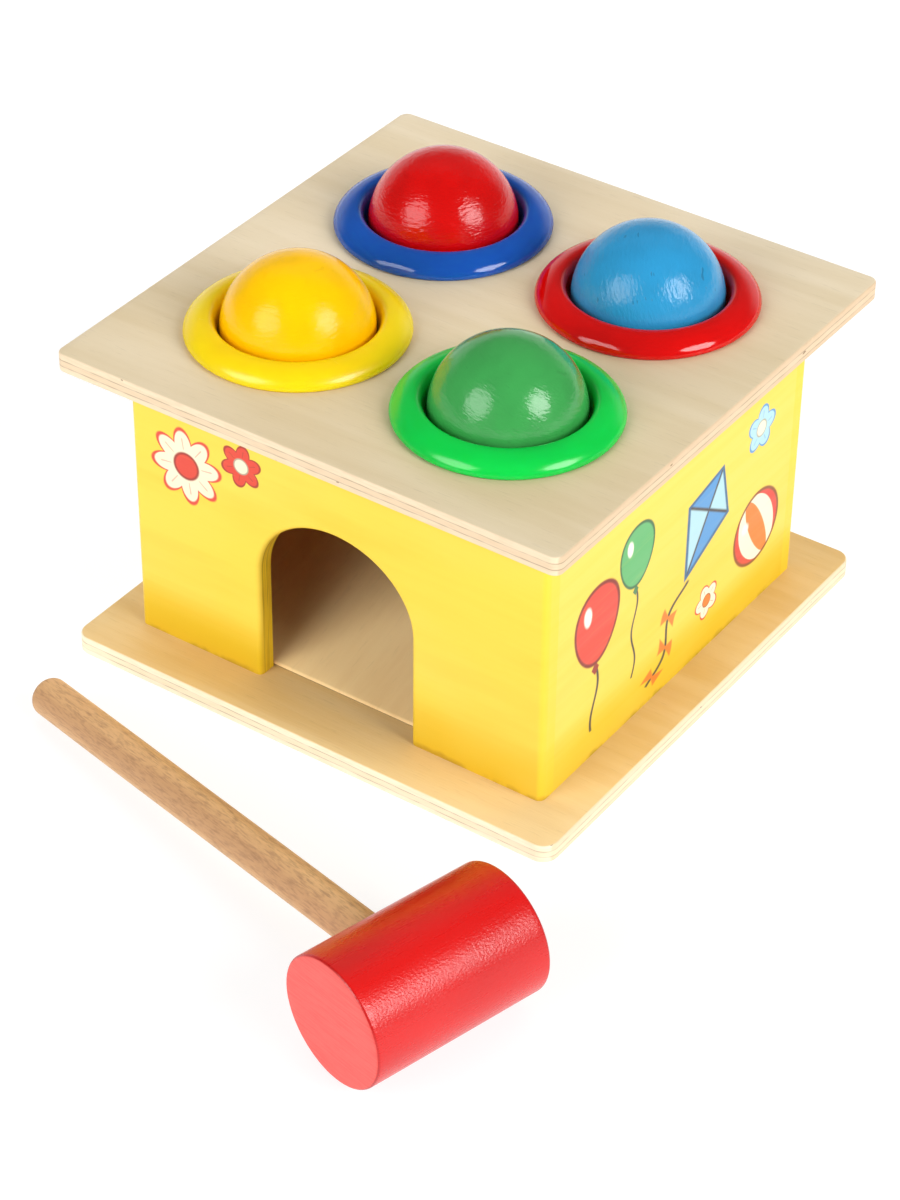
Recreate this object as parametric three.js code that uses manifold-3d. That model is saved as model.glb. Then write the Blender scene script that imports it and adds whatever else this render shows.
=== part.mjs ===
// Ball pounding toy: a wooden box between two plywood plates, four balls held in plastic rings in the
// top plate, a ramp inside that rolls the balls out of an arched doorway, and a loose wooden hammer.
// Millimetres, +Z up. The origin is the centre of the base plate's underside, the front faces -Y.

import * as THREE from 'three';
import { mergeVertices } from 'three/addons/utils/BufferGeometryUtils.js';
import Module from 'manifold-3d';

// Balls and the rings that hold them
const BALL_D = 45;              // just over the size that a small child can swallow
const BALL_CLEARANCE = 0.25;    // between a ball and the throat of its ring
const BALL_RISE = 1.1;          // ball centre above the top plate
const MOUTH_FLARE = 1.25;       // the mouth is wider than the throat by this
const FLANGE_W = 8.8;           // from the mouth to the flange's outer edge
const FLANGE_EDGE = 1;          // rounding of the flange's lower edge
const RING_H = 5.8;             // flange height above the plate
const CREST_INSET = 1.5;        // from the mouth to the highest line of the flange
const LIP_DROP = 3;             // how deep the mouth's rounding goes
const GRIP_TOP = 1.5;           // the throat starts this far below the plate's upper face
const GRIP_H = 3;               // height of the throat
const SKIRT_RELIEF = 0.6;       // the skirt widens below the throat by this
const SLEEVE_T = 2.6;           // wall of the sleeve at the throat
const SLEEVE_CLEARANCE = 0.25;  // between the sleeve and its hole in the plate
const SNAP_LIP = 0.8;           // the snap bead reaches under the plate by this
const SNAP_GAP = 0.2;           // between the plate and the bead
const SNAP_H = 1;               // upright face of the bead
const SNAP_TAPER = 2;           // lead-in below the bead
const SLIT_COUNT = 6;           // slits that make spring fingers of the skirt
const SLIT_W = 2;
const SLIT_TOP = 1;             // the slits end this far below the plate's upper face
const RING_GAP = 6.4;           // between two neighbouring rings

// Box and plates
const BALL_ROOM_X = 7.5;        // from a falling ball to the side walls
const BALL_ROOM_Y = 4.5;        // from a falling ball to the front and back walls
const WALL_T = 6;
const WALL_H = 94;
const BOX_CORNER_R = 4;
const OVERHANG_X = 13;          // plates past the side walls
const OVERHANG_Y = 16;          // plates past the front and back walls
const BASE_T = 6;
const TOP_T = 6;
const PLATE_CORNER_R = 5;
const PLATE_EASE = 0.6;         // rounding of the plates' edges

// Doorway
const ARCH_SIDE_ROOM = 4.5;     // beside a ball that rolls out
const ARCH_HEAD_ROOM = 17;      // doorway height above one ball diameter
const ARCH_RISE = 24.5;         // height of the curved part

// Ramp, its cleat and the deflectors
const RAMP_T = 4;
const RAMP_SLOPE = 15;          // degrees
const RAMP_FOOT = 10.5;         // planed flat on the base, which leaves a thin front edge
const RAMP_EASE = 0.4;          // chamfer under the front edge
const RAMP_SIDE_GAP = 0.4;
const RAMP_END_GAP = 0.3;
const CLEAT_D = 8;
const CLEAT_H = 10;
const GLUE_GAP = 0.2;           // between sloping faces that are glued
const DEFLECTOR_DEPTH = 12;     // reach along the side wall
const DEFLECTOR_H = 28;         // top above the base plate
const DEFLECTOR_SETBACK = 1.5;  // from the doorway's side to the wedge's tip

// Screws through the base into the walls
const SCREW_D = 3;
const SCREW_HEAD_D = 6;
const SCREW_RIM = 0.4;          // upright edge of the head
const SCREW_L = 20;
const SCREW_POINT = 3;
const SCREW_RECESS = 0.4;       // head below the base's underside
const SCREW_CLEARANCE = 0.2;

// Hammer, and where it lies
const HEAD_D = 38.5;
const HEAD_L = 58;
const HEAD_CHAMFER = 1;
const HANDLE_D = 12;
const HANDLE_REACH = 172.5;     // from the head's axis to the handle's tip
const HANDLE_ROUND = 3;         // rounding of the tip
const HANDLE_CHAMFER = 0.6;     // at the end inside the head
const SOCKET_FLOOR = 11.5;      // wood left under the socket
const SOCKET_CLEARANCE = 0.15;
const HAMMER_ASIDE = 7.25;      // head centre to the right of the base
const HAMMER_AHEAD = 72.25;     // head centre in front of the base
const HAMMER_TURN = 74.7;       // head axis from +X, degrees
const TABLE_GAP = 0.05;         // the turned hammer stays this far above the table

// Fineness of the round forms
const RING_SIDES = 36;
const BALL_SIDES = 26;
const BALL_RINGS = 14;
const HEAD_SIDES = 48;
const DOWEL_SIDES = 24;
const SCREW_SIDES = 12;
const ARC_STEPS = 2;
const CORNER_STEPS = 4;
const OVERCUT = 1;              // cutting tools reach past the faces that they cut

// Worked out from the sizes above
const ballR = BALL_D / 2;
const throatR = ballR + BALL_CLEARANCE;
const mouthR = throatR + MOUTH_FLARE;
const crestR = mouthR + CREST_INSET;
const flangeR = mouthR + FLANGE_W;
const footR = flangeR - FLANGE_EDGE;
const sleeveR = throatR + SLEEVE_T;
const holeR = sleeveR + SLEEVE_CLEARANCE;
const snapR = holeR + SNAP_LIP;
const snapTop = TOP_T + SNAP_GAP;
const skirtH = snapTop + SNAP_H + SNAP_TAPER;
const ringPlace = flangeR + RING_GAP / 2;
const innerX = ringPlace + ballR + BALL_ROOM_X;
const innerY = ringPlace + ballR + BALL_ROOM_Y;
const boxX = innerX + WALL_T;
const boxY = innerY + WALL_T;
const plateX = boxX + OVERHANG_X;
const plateY = boxY + OVERHANG_Y;
const underTop = BASE_T + WALL_H;
const topZ = underTop + TOP_T;
const archHalf = ballR + ARCH_SIDE_ROOM;
const archSpring = BALL_D + ARCH_HEAD_ROOM - ARCH_RISE;
const slope = Math.tan(THREE.MathUtils.degToRad(RAMP_SLOPE));
const rampFront = -innerY + RAMP_END_GAP;
const rampBack = innerY - RAMP_END_GAP;
const rampRise = RAMP_T * Math.hypot(1, slope);
const rampUnder = (y) => BASE_T + (y - rampFront - RAMP_FOOT) * slope;
const rampOver = (y) => rampUnder(y) + rampRise;
const headR = HEAD_D / 2;
const handleR = HANDLE_D / 2;

// Materials
const finish = (color, roughness, metalness = 0) => new THREE.MeshStandardMaterial({ color, roughness, metalness });
const plywood = finish('#e2cda4', 0.7);
const bareBoard = finish('#cfa873', 0.75);
const wallPaint = finish('#fce35a', 0.5);
const hardwood = finish('#d2a578', 0.55);
const hammerPaint = finish('#de2a20', 0.4);
const screwSteel = finish('#b9bcc0', 0.35, 1);
const ringPlastic = {
  blue: finish('#0f46b9', 0.2),
  red: finish('#e11616', 0.2),
  yellow: finish('#ffd70a', 0.2),
  green: finish('#0ad24b', 0.2),
};
const ballPaint = {
  red: finish('#d70f0f', 0.35),
  blue: finish('#328ccd', 0.35),
  yellow: finish('#ffcd14', 0.35),
  green: finish('#4baf5a', 0.35),
};

// Joining and cutting of closed meshes
const wasm = await Module();
wasm.setup();

function toSolid(geometry) {
  const bare = geometry.clone();
  bare.deleteAttribute('normal');
  bare.deleteAttribute('uv');
  const merged = mergeVertices(bare);
  return new wasm.Manifold(new wasm.Mesh({
    numProp: 3,
    vertProperties: new Float32Array(merged.attributes.position.array),
    triVerts: new Uint32Array(merged.index.array),
  }));
}

function toGeometry(solid) {
  const mesh = solid.getMesh();
  const geometry = new THREE.BufferGeometry();
  geometry.setAttribute('position', new THREE.BufferAttribute(mesh.vertProperties, 3));
  geometry.setIndex(new THREE.BufferAttribute(mesh.triVerts, 1));
  geometry.computeVertexNormals();
  return geometry;
}

function cut(geometry, tools) {
  const solid = tools.reduce((left, tool) => left.subtract(toSolid(tool)), toSolid(geometry));
  return toGeometry(solid);
}

// Basic forms
// A profile of [radius, height] points turned about Z
function turned(points, sides) {
  const profile = points.map(([r, z]) => new THREE.Vector2(r, z));
  return new THREE.LatheGeometry(profile, sides).rotateX(Math.PI / 2);
}

// An upright cylinder that stands on z
function post(radius, height, sides, x, y, z) {
  return new THREE.CylinderGeometry(radius, radius, height, sides)
    .rotateX(Math.PI / 2)
    .translate(x, y, z + height / 2);
}

// A plan outline drawn up along Z
function upright(shape, height) {
  return new THREE.ExtrudeGeometry(shape, { depth: height, bevelEnabled: false, curveSegments: CORNER_STEPS });
}

// A side outline of [y, z] points drawn along X, centred on x = 0
function crosswise(points, width) {
  const shape = new THREE.Shape(points.map(([y, z]) => new THREE.Vector2(y, z)));
  return new THREE.ExtrudeGeometry(shape, { depth: width, bevelEnabled: false })
    .rotateX(Math.PI / 2)
    .rotateZ(Math.PI / 2)
    .translate(-width / 2, 0, 0);
}

function named(name, geometry, material, x = 0, y = 0, z = 0) {
  const mesh = new THREE.Mesh(geometry, material);
  mesh.name = name;
  mesh.position.set(x, y, z);
  return mesh;
}

// Screw: countersunk head down, point up; the same outline with a gap is its hole
function screwOutline(gap, below) {
  const head = SCREW_HEAD_D / 2 + gap;
  const shank = SCREW_D / 2 + gap;
  const coneTop = SCREW_RIM + (SCREW_HEAD_D - SCREW_D) / 2;
  return [
    [0, -below],
    [head, -below],
    [head, SCREW_RIM],
    [shank, coneTop],
    [shank, SCREW_L - SCREW_POINT],
    [0, SCREW_L + gap],
  ];
}

const screwSites = [];
const wallFootX = (archHalf + boxX) / 2;
for (const side of [-1, 1]) {
  for (const end of [-1, 1]) {
    screwSites.push([end * wallFootX, side * (boxY - WALL_T / 2)]);
    screwSites.push([side * (boxX - WALL_T / 2), end * innerY / 2]);
  }
}

function screwHoles(x, y, z) {
  const hole = turned(screwOutline(SCREW_CLEARANCE, SCREW_RECESS + OVERCUT), SCREW_SIDES);
  return screwSites.map(([sx, sy]) => hole.clone().translate(sx - x, sy - y, SCREW_RECESS - z));
}

// Plates
function plateBlank(thickness) {
  const r = PLATE_CORNER_R;
  const outline = new THREE.Shape();
  outline.moveTo(-plateX + r, -plateY);
  outline.lineTo(plateX - r, -plateY);
  outline.absarc(plateX - r, -plateY + r, r, -Math.PI / 2, 0);
  outline.lineTo(plateX, plateY - r);
  outline.absarc(plateX - r, plateY - r, r, 0, Math.PI / 2);
  outline.lineTo(-plateX + r, plateY);
  outline.absarc(-plateX + r, plateY - r, r, Math.PI / 2, Math.PI);
  outline.lineTo(-plateX, -plateY + r);
  outline.absarc(-plateX + r, -plateY + r, r, Math.PI, 1.5 * Math.PI);
  return new THREE.ExtrudeGeometry(outline, {
    depth: thickness - 2 * PLATE_EASE,
    bevelThickness: PLATE_EASE,
    bevelSize: PLATE_EASE,
    bevelOffset: -PLATE_EASE,
    bevelSegments: 2,
    curveSegments: CORNER_STEPS,
  }).translate(0, 0, PLATE_EASE);
}

const corners = {
  back: [-ringPlace, ringPlace],
  right: [ringPlace, ringPlace],
  left: [-ringPlace, -ringPlace],
  front: [ringPlace, -ringPlace],
};

function topPlate() {
  const height = TOP_T + 2 * OVERCUT;
  const holes = Object.values(corners).map(([x, y]) => post(holeR, height, RING_SIDES, x, y, -OVERCUT));
  return cut(plateBlank(TOP_T), holes);
}

// Walls. The front and back walls are full width with rounded outer corners; the side walls stand between.
function endWall() {
  const r = Math.min(BOX_CORNER_R, WALL_T);
  const plan = new THREE.Shape();
  plan.moveTo(boxX, WALL_T);
  plan.lineTo(-boxX, WALL_T);
  plan.lineTo(-boxX, r);
  plan.absarc(-boxX + r, r, r, Math.PI, 1.5 * Math.PI);
  plan.lineTo(boxX - r, 0);
  plan.absarc(boxX - r, r, r, -Math.PI / 2, 0);
  return upright(plan, WALL_H);
}

function doorway() {
  const outline = new THREE.Shape();
  outline.moveTo(-archHalf, -OVERCUT);
  outline.lineTo(archHalf, -OVERCUT);
  outline.lineTo(archHalf, archSpring);
  outline.absellipse(0, archSpring, archHalf, ARCH_RISE, 0, Math.PI);
  const depth = WALL_T + 2 * OVERCUT;
  return new THREE.ExtrudeGeometry(outline, { depth, bevelEnabled: false, curveSegments: 3 * CORNER_STEPS })
    .rotateX(Math.PI / 2)
    .translate(0, WALL_T + OVERCUT, 0);
}

function frontWall() {
  return cut(endWall(), [doorway(), ...screwHoles(0, -boxY, BASE_T)]);
}

function backWall() {
  return cut(endWall().rotateZ(Math.PI), screwHoles(0, boxY, BASE_T));
}

function sideWall(side) {
  const blank = new THREE.BoxGeometry(WALL_T, 2 * innerY, WALL_H).translate(0, 0, WALL_H / 2);
  return cut(blank, screwHoles(side * (boxX - WALL_T / 2), 0, BASE_T));
}

// Ramp: a board planed to a thin edge where it lies on the base, its high end on a bevelled cleat
function rampBoard() {
  return crosswise([
    [rampFront, BASE_T + RAMP_EASE],
    [rampFront + RAMP_EASE, BASE_T],
    [rampFront + RAMP_FOOT, BASE_T],
    [rampBack, rampUnder(rampBack)],
    [rampBack, rampOver(rampBack)],
    [rampFront, rampOver(rampFront)],
  ], 2 * (innerX - RAMP_SIDE_GAP));
}

function rampCleat() {
  const front = innerY - CLEAT_D;
  const low = rampUnder(front) - CLEAT_H;
  return crosswise([
    [front, low],
    [innerY, low],
    [innerY, rampUnder(innerY) - GLUE_GAP],
    [front, rampUnder(front) - GLUE_GAP],
  ], 2 * (innerX - RAMP_SIDE_GAP));
}

// Deflector: a wedge in the front corner, cut to the slope of the ramp below it
function deflector(side) {
  const tip = archHalf + DEFLECTOR_SETBACK;
  const back = -innerY + DEFLECTOR_DEPTH;
  const corner = [side * innerX, -innerY];
  const plan = [[side * tip, -innerY], corner, [side * innerX, back]];
  const wedge = upright(new THREE.Shape(plan.map(([x, y]) => new THREE.Vector2(x, y))), DEFLECTOR_H);
  const under = crosswise([
    [-innerY - OVERCUT, -BASE_T],
    [back + OVERCUT, -BASE_T],
    [back + OVERCUT, rampOver(back + OVERCUT) + GLUE_GAP - BASE_T],
    [-innerY - OVERCUT, rampOver(-innerY - OVERCUT) + GLUE_GAP - BASE_T],
  ], 2 * (innerX + OVERCUT));
  return cut(wedge, [under]);
}

// Ring: domed flange on the plate, flared mouth, throat round the ball, and a skirt of spring fingers
// whose bead snaps under the plate. Height 0 is the plate's upper face.
function ring() {
  const section = new THREE.Path();
  section.moveTo(footR, 0);
  section.absarc(footR, FLANGE_EDGE, FLANGE_EDGE, -Math.PI / 2, 0);
  section.absellipse(crestR, FLANGE_EDGE, flangeR - crestR, RING_H - FLANGE_EDGE, 0, Math.PI / 2);
  section.absellipse(crestR, RING_H - LIP_DROP, crestR - mouthR, LIP_DROP, Math.PI / 2, Math.PI);
  section.lineTo(throatR, -GRIP_TOP);
  section.lineTo(throatR, -GRIP_TOP - GRIP_H);
  section.lineTo(throatR + SKIRT_RELIEF, -skirtH);
  section.lineTo(sleeveR, -skirtH);
  section.lineTo(snapR, -snapTop - SNAP_H);
  section.lineTo(snapR, -snapTop);
  section.lineTo(sleeveR, -snapTop);
  section.lineTo(sleeveR, 0);
  section.lineTo(footR, 0);
  const outline = section.getPoints(ARC_STEPS);
  const blank = turned(outline.map((p) => [p.x, p.y]), RING_SIDES);
  const slitH = skirtH - SLIT_TOP + OVERCUT;
  const reach = snapR + OVERCUT;
  const slits = Array.from({ length: SLIT_COUNT }, (_, i) => new THREE.BoxGeometry(reach, SLIT_W, slitH)
    .translate(reach / 2, 0, -SLIT_TOP - slitH / 2)
    .rotateZ((i + 0.5) * 2 * Math.PI / SLIT_COUNT));
  return cut(blank, slits);
}

function ball() {
  return new THREE.SphereGeometry(ballR, BALL_SIDES, BALL_RINGS).rotateX(Math.PI / 2);
}

// Hammer in its own frame: head along X, handle along +Y, the head's centre at the origin
const socketEnd = -headR + SOCKET_FLOOR;

function hammerHead() {
  const half = HEAD_L / 2;
  const blank = turned([
    [0, -half],
    [headR - HEAD_CHAMFER, -half],
    [headR, -half + HEAD_CHAMFER],
    [headR, half - HEAD_CHAMFER],
    [headR - HEAD_CHAMFER, half],
    [0, half],
  ], HEAD_SIDES).rotateY(Math.PI / 2);
  const depth = headR + OVERCUT - socketEnd;
  const socket = new THREE.CylinderGeometry(handleR + SOCKET_CLEARANCE, handleR + SOCKET_CLEARANCE, depth, DOWEL_SIDES)
    .translate(0, socketEnd + depth / 2, 0);
  return cut(blank, [socket]);
}

function hammerHandle() {
  const start = socketEnd + SOCKET_CLEARANCE;
  const outline = new THREE.Path();
  outline.moveTo(0, start);
  outline.lineTo(handleR - HANDLE_CHAMFER, start);
  outline.lineTo(handleR, start + HANDLE_CHAMFER);
  outline.lineTo(handleR, HANDLE_REACH - HANDLE_ROUND);
  outline.absarc(handleR - HANDLE_ROUND, HANDLE_REACH - HANDLE_ROUND, HANDLE_ROUND, 0, Math.PI / 2);
  outline.lineTo(0, HANDLE_REACH);
  return new THREE.LatheGeometry(outline.getPoints(ARC_STEPS), DOWEL_SIDES);
}

// The hammer lies on its head, tipped about the head's axis until the handle's end is on the table
function layHammer() {
  const toRound = HANDLE_REACH - HANDLE_ROUND;
  const drop = headR - TABLE_GAP;
  const tip = Math.asin(drop / Math.hypot(toRound, handleR)) - Math.atan2(handleR, toRound);
  const tipped = new THREE.Group();
  tipped.rotation.x = -tip;
  tipped.add(named('hammer_head', hammerHead(), hammerPaint));
  tipped.add(named('hammer_handle', hammerHandle(), hardwood));
  const hammer = new THREE.Group();
  hammer.position.set(plateX + HAMMER_ASIDE, -plateY - HAMMER_AHEAD, headR + TABLE_GAP);
  hammer.rotation.z = THREE.MathUtils.degToRad(HAMMER_TURN);
  hammer.add(tipped);
  return hammer;
}

// Assembly
const toy = new THREE.Group();
toy.add(named('base_plate', cut(plateBlank(BASE_T), screwHoles(0, 0, 0)), plywood));
toy.add(named('top_plate', topPlate(), plywood, 0, 0, underTop));
toy.add(named('front_wall', frontWall(), wallPaint, 0, -boxY, BASE_T));
toy.add(named('back_wall', backWall(), wallPaint, 0, boxY, BASE_T));
toy.add(named('left_wall', sideWall(-1), wallPaint, -boxX + WALL_T / 2, 0, BASE_T));
toy.add(named('right_wall', sideWall(1), wallPaint, boxX - WALL_T / 2, 0, BASE_T));
toy.add(named('ramp_board', rampBoard(), bareBoard));
toy.add(named('ramp_cleat', rampCleat(), bareBoard));
toy.add(named('deflector_left', deflector(-1), bareBoard, 0, 0, BASE_T));
toy.add(named('deflector_right', deflector(1), bareBoard, 0, 0, BASE_T));

const stations = [
  ['back', 'blue', 'red'],
  ['right', 'red', 'blue'],
  ['left', 'yellow', 'yellow'],
  ['front', 'green', 'green'],
];
for (const [corner, ringColour, ballColour] of stations) {
  const [x, y] = corners[corner];
  toy.add(named(`ring_${ringColour}`, ring(), ringPlastic[ringColour], x, y, topZ));
  toy.add(named(`ball_${ballColour}`, ball(), ballPaint[ballColour], x, y, topZ + BALL_RISE));
}

screwSites.forEach(([x, y], i) => {
  const screw = turned(screwOutline(0, 0), SCREW_SIDES);
  toy.add(named(`base_screw_${i + 1}`, screw, screwSteel, x, y, SCREW_RECESS));
});

toy.add(layHammer());

export default toy;
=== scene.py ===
import math

import bmesh
import bpy
import numpy as np
from mathutils import Euler, Matrix, Vector


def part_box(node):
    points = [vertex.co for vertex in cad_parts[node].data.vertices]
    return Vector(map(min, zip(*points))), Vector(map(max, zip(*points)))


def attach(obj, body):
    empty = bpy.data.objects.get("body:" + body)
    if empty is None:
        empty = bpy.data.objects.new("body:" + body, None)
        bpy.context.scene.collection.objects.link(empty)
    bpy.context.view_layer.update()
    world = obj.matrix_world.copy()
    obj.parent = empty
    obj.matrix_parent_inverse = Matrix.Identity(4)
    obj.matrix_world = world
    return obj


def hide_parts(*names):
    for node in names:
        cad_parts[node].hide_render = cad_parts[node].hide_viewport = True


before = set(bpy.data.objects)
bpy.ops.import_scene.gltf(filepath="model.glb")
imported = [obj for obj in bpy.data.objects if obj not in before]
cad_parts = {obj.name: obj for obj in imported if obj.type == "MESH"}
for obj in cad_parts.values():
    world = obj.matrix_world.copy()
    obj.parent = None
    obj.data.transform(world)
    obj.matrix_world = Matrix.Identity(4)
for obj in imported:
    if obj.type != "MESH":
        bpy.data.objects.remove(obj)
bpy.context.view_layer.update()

MM = 0.001

# Fineness of the surfaces
TURN_STEPS = 128
BALL_RINGS = 64
ARC_STEPS = 10
EASE_STEPS = 4          # round a plate's eased edge
CELL_STEPS = 6
RULED_ROWS = 4          # from a hole to the border of its cell
JAMB_ROWS = 12
FLANGE_STEPS = 5
FLANK_STEPS = 20
LIP_STEPS = 12
FINGER_STEPS = 18
HEAD_STEPS = 12
SOCKET_ROWS = 5
RIM_STEPS = 6
DISC_ROWS = 8
HANDLE_ROWS = 80
HANDLE_STEPS = 64
SCREW_STEPS = 96
SCREW_ROWS = 22
CREASE = 35             # degrees; sharper edges stay sharp
MERGE = 0.002           # points closer than this are one

# Plates
TOP_CORNER = 3
BASE_CORNER = 5
PLATE_EASE = 0.6
RING_OFFSET = 36        # the rings' centres from the middle, along X and Y
HOLE_R = 25.6
HOLE_CELL = 30          # half side of the square cell round a hole

# Box
BOX_CORNER = 2.2
JAMB_EASE = 1.6
JAMB_SHARE = 0.6        # the part of the wall's outer edge that belongs to the jamb's rows
ARCH_HALF = 27
ARCH_SPRING = 43.5
ARCH_TOP = 68

# Ramp
RAMP_T = 4
RAMP_SLOPE = math.radians(15)
RAMP_FOOT = 10.5        # planed flat on the base
RAMP_EASE = 0.4
RAMP_NOSE = 1           # rounding of the front edge
RAMP_SHADE_LINE = 0.65         # height of the painted shade line under the nose

# Ring profile, heights from the top plate's face. The throat closes on the ball, as the fingers do.
THROAT_R = 22.55
MOUTH_R = 23.5
CREST_R = 25.8
SLEEVE_R = 25.35
SNAP_R = 26.4
FLANGE_EDGE = 1
FLANK_POWER = 1.75      # 2 gives an ellipse, less a flatter flank
LIP_DROP = 3.4
GRIP_TOP = 1.5
GRIP_END = 4.5
SNAP_TOP = 6.2
SNAP_END = 7.2
SKIRT_H = 9.2
SKIRT_R = 23.35
SLIT_TOP = 1
SLIT_COUNT = 6
SLIT_HALF_ANGLE = 2.4   # degrees
FINGER_ROOT = 0.6       # the fingers start this far below the plate's face
FINGER_HEART = (24.6, -7.5)

# Balls, as shares of the radius
BALL_WAVE = 0.0006
BALL_FLAT = 0.0015
BALL_FLAT_WIDTH = 0.12

# Hammer in its own frame: head along X, handle along +Y
HEAD_R = 19.25
HEAD_HALF = 29
HEAD_ROUND = 1
SOCKET_R = 6.15
SOCKET_END = -7.75
SOCKET_CELL = 9
SOCKET_ANGLE = 30       # degrees to each side of the socket
HANDLE_R = 6
HANDLE_SWELL = 0.04     # on the radius
HANDLE_WAVES = (17, 41)
HANDLE_START = -7.6
HANDLE_REACH = 172.5
HANDLE_ROUND = 3
HAMMER_TURN = 74.7      # degrees
TABLE_GAP = 0.05

# Screws
SCREW_HEAD_R = 3
SCREW_HOLE_R = 3.2
SINK_RIM = 0.9          # the hole is straight so far, then narrows at 45 degrees
PILOT_R = 1.7
PILOT_TOP = 4
SCREW_CELL = 6
SCREW_SHANK_R = 1.5
SCREW_RIM = 0.4
SCREW_L = 20
SCREW_POINT = 3
CROSS_R = 1.9
CROSS_HALF = 0.42
CROSS_DEPTH = 1.1
CROSS_SOFT = 0.15
CROSS_END_SOFT = 0.3

# Finishes: depths, heights and widths over which they change
COAT_START = 0.8        # under a wall's face
COAT_FULL = 0.4
END_BAND = 2            # deeper paint at a wall's rounded end
FOOT_BAND = (4, 18.5)   # heights between which the deeper paint along the foot fades
FOOT_WAVES = (12, 6)    # how far clouds and streaks lift it
FOOT_SHADE_WAVE = 4         # how far the edge of the grime and painted shade along the foot wanders
FOOT_SHADE_FULL = 3.6
FOOT_SHADE_END = 5.8
PLY_WAVE = 0.7          # how far the plies wander up and down
PLY_GLUE = (0.24, 0.08)  # distances from a glue line
JAMB_GLUE = (0.3, 0.1)
SAWN_EDGE = (0.9, 0.4)  # under a plate's end
FACE_FADE = (-0.2, 0.1)  # from the middle of a plate's eased edge
SHADE_LINE_FADE = 0.1
HEAD_END_FADE = (0.35, 0.1)  # depths under the head's end
HEAD_RIM_START = (0.9, 0.5)
HEAD_RIM_END = (0.1, 0.3)
SHADE_STRIPE_TOWARD = (0.76, 0.0, 0.65)  # across the handle, for a painted shade stripe down one side and painted light on the other
SHADE_STRIPE_AT = 2.1
SHADE_STRIPE_FADE = (0.6, 6.6)
TIP_FADE = (30, 150)    # along the handle

# Of each plate's face: direction in which it is painted paler as painted light, start and end in metres
TOP_PAINTED_LIGHT = ((-0.5, 1, 0), -0.1, 0.1)
BASE_PAINTED_LIGHT = ((0.25, -1, 0), 0.055, 0.1)

# Colours as they show on screen, 0-255; a pair is light and dark
TOP_FACE = ((230, 214, 184), (214, 194, 156))
TOP_EDGE = ((236, 214, 182), (212, 182, 146))
BASE_FACE = ((244, 218, 166), (226, 189, 124))
BASE_EDGE = ((252, 238, 208), (230, 208, 168))
PLY_NICK = (120, 84, 52)
BOARD_LIGHT = (255, 226, 168)
BOARD_DARK = (242, 207, 148)
STEEL_LIGHT = (206, 208, 212)
STEEL_DARK = (168, 170, 176)
PAINT_TOP = (246, 214, 70)
PAINT_SIDE = (246, 212, 84)
PAINT_FOOT = (230, 192, 34)
PAINT_END = (244, 206, 48)
PAINT_JAMB = (240, 202, 27)
PAINT_PALE = (250, 222, 100)
PAINT_GRAIN = (238, 196, 50)
# Dingy tone of the jamb's ply lines and glue, and of the grime and painted shade along a wall's foot
PAINT_DINGY_AND_SHADE = (165, 122, 26)
INK = (70, 64, 62)
INK_PALE = (255, 246, 228)
INK_CREAM = (250, 238, 205)
INK_RED = (222, 70, 52)
INK_ORANGE = (238, 128, 48)
INK_BLUE = (84, 150, 206)
INK_SKY = (176, 216, 226)
INK_GREEN = (96, 178, 108)
HEAD_RED = (217, 15, 11)
# The sawn ends: thinner paint, made paler pink in part as a painted sheen
HEAD_END_THIN_AND_SHEEN = (236, 88, 80)
HEAD_END_LINES_AND_SHEEN = (230, 77, 69)
HANDLE_LIGHT = (232, 188, 135)
HANDLE_DARK = (197, 151, 106)
HANDLE_FLECK = (140, 100, 72)
# Bare board of the walls' inner faces, painted darker and redder as shade inside the box
INSIDE_SHADE = (226, 138, 84)

# Material slots of a wall's mesh, after its paint
JAMB_TONE = 1
INSIDE_SHADE_TONE = 2

# Of each ring: colour and roughness
RINGS = {
    "blue": ((20, 86, 178), 0.09),
    "red": ((213, 6, 4), 0.1),
    "yellow": ((254, 216, 6), 0.25),
    "green": ((8, 206, 76), 0.18),
}

# Of each ball: colour, turn of its grain in degrees, specular level, ripples and pores
BALLS = {
    "red": ((207, 6, 4), (3, -4, 20), 0.42, 0.9, 0.1),
    "blue": ((45, 147, 199), (10, 70, 36), 0.38, 1.0, 0.35),
    "yellow": ((255, 196, 2), (-5, 9, 140), 0.22, 0.6, 0.1),
    "green": ((60, 156, 77), (25, 12, 120), 0.53, 0.6, 0.1),
}


def span(node):
    """Lowest and highest corner of a CAD node in millimetres."""
    lo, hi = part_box(node)
    return np.array(lo) / MM, np.array(hi) / MM


# Surfaces. A shell is (points, quads, tone of each quad).


def grid(points, wrap_rows=False, wrap_columns=False, tones=0):
    """Quads between neighbouring points of a rows x columns array of points."""
    rows, columns = points.shape[:2]
    r = np.arange(rows if wrap_rows else rows - 1)
    c = np.arange(columns if wrap_columns else columns - 1)
    i, j = np.meshgrid(r, c, indexing="ij")
    i2, j2 = (i + 1) % rows, (j + 1) % columns
    quads = np.stack([i * columns + j, i * columns + j2, i2 * columns + j2, i2 * columns + j], -1)
    tone = np.broadcast_to(np.asarray(tones), i.shape)
    return points.reshape(-1, 3), quads.reshape(-1, 4), tone.reshape(-1)


def together(shells):
    """One shell of several: the point numbers of each are moved up by the points before it."""
    starts = np.cumsum([0] + [len(s[0]) for s in shells[:-1]])
    points = np.concatenate([s[0] for s in shells])
    quads = np.concatenate([s[1] + k for s, k in zip(shells, starts)])
    return points, quads, np.concatenate([s[2] for s in shells])


def arc(centre, radii, start, end, steps):
    """Points centre + (radii_1 cos a, radii_2 sin a) for angles a from start to end, in degrees."""
    a = np.radians(np.linspace(start, end, steps + 1))
    return np.stack([centre[0] + radii[0] * np.cos(a), centre[1] + radii[1] * np.sin(a)], -1)


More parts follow.
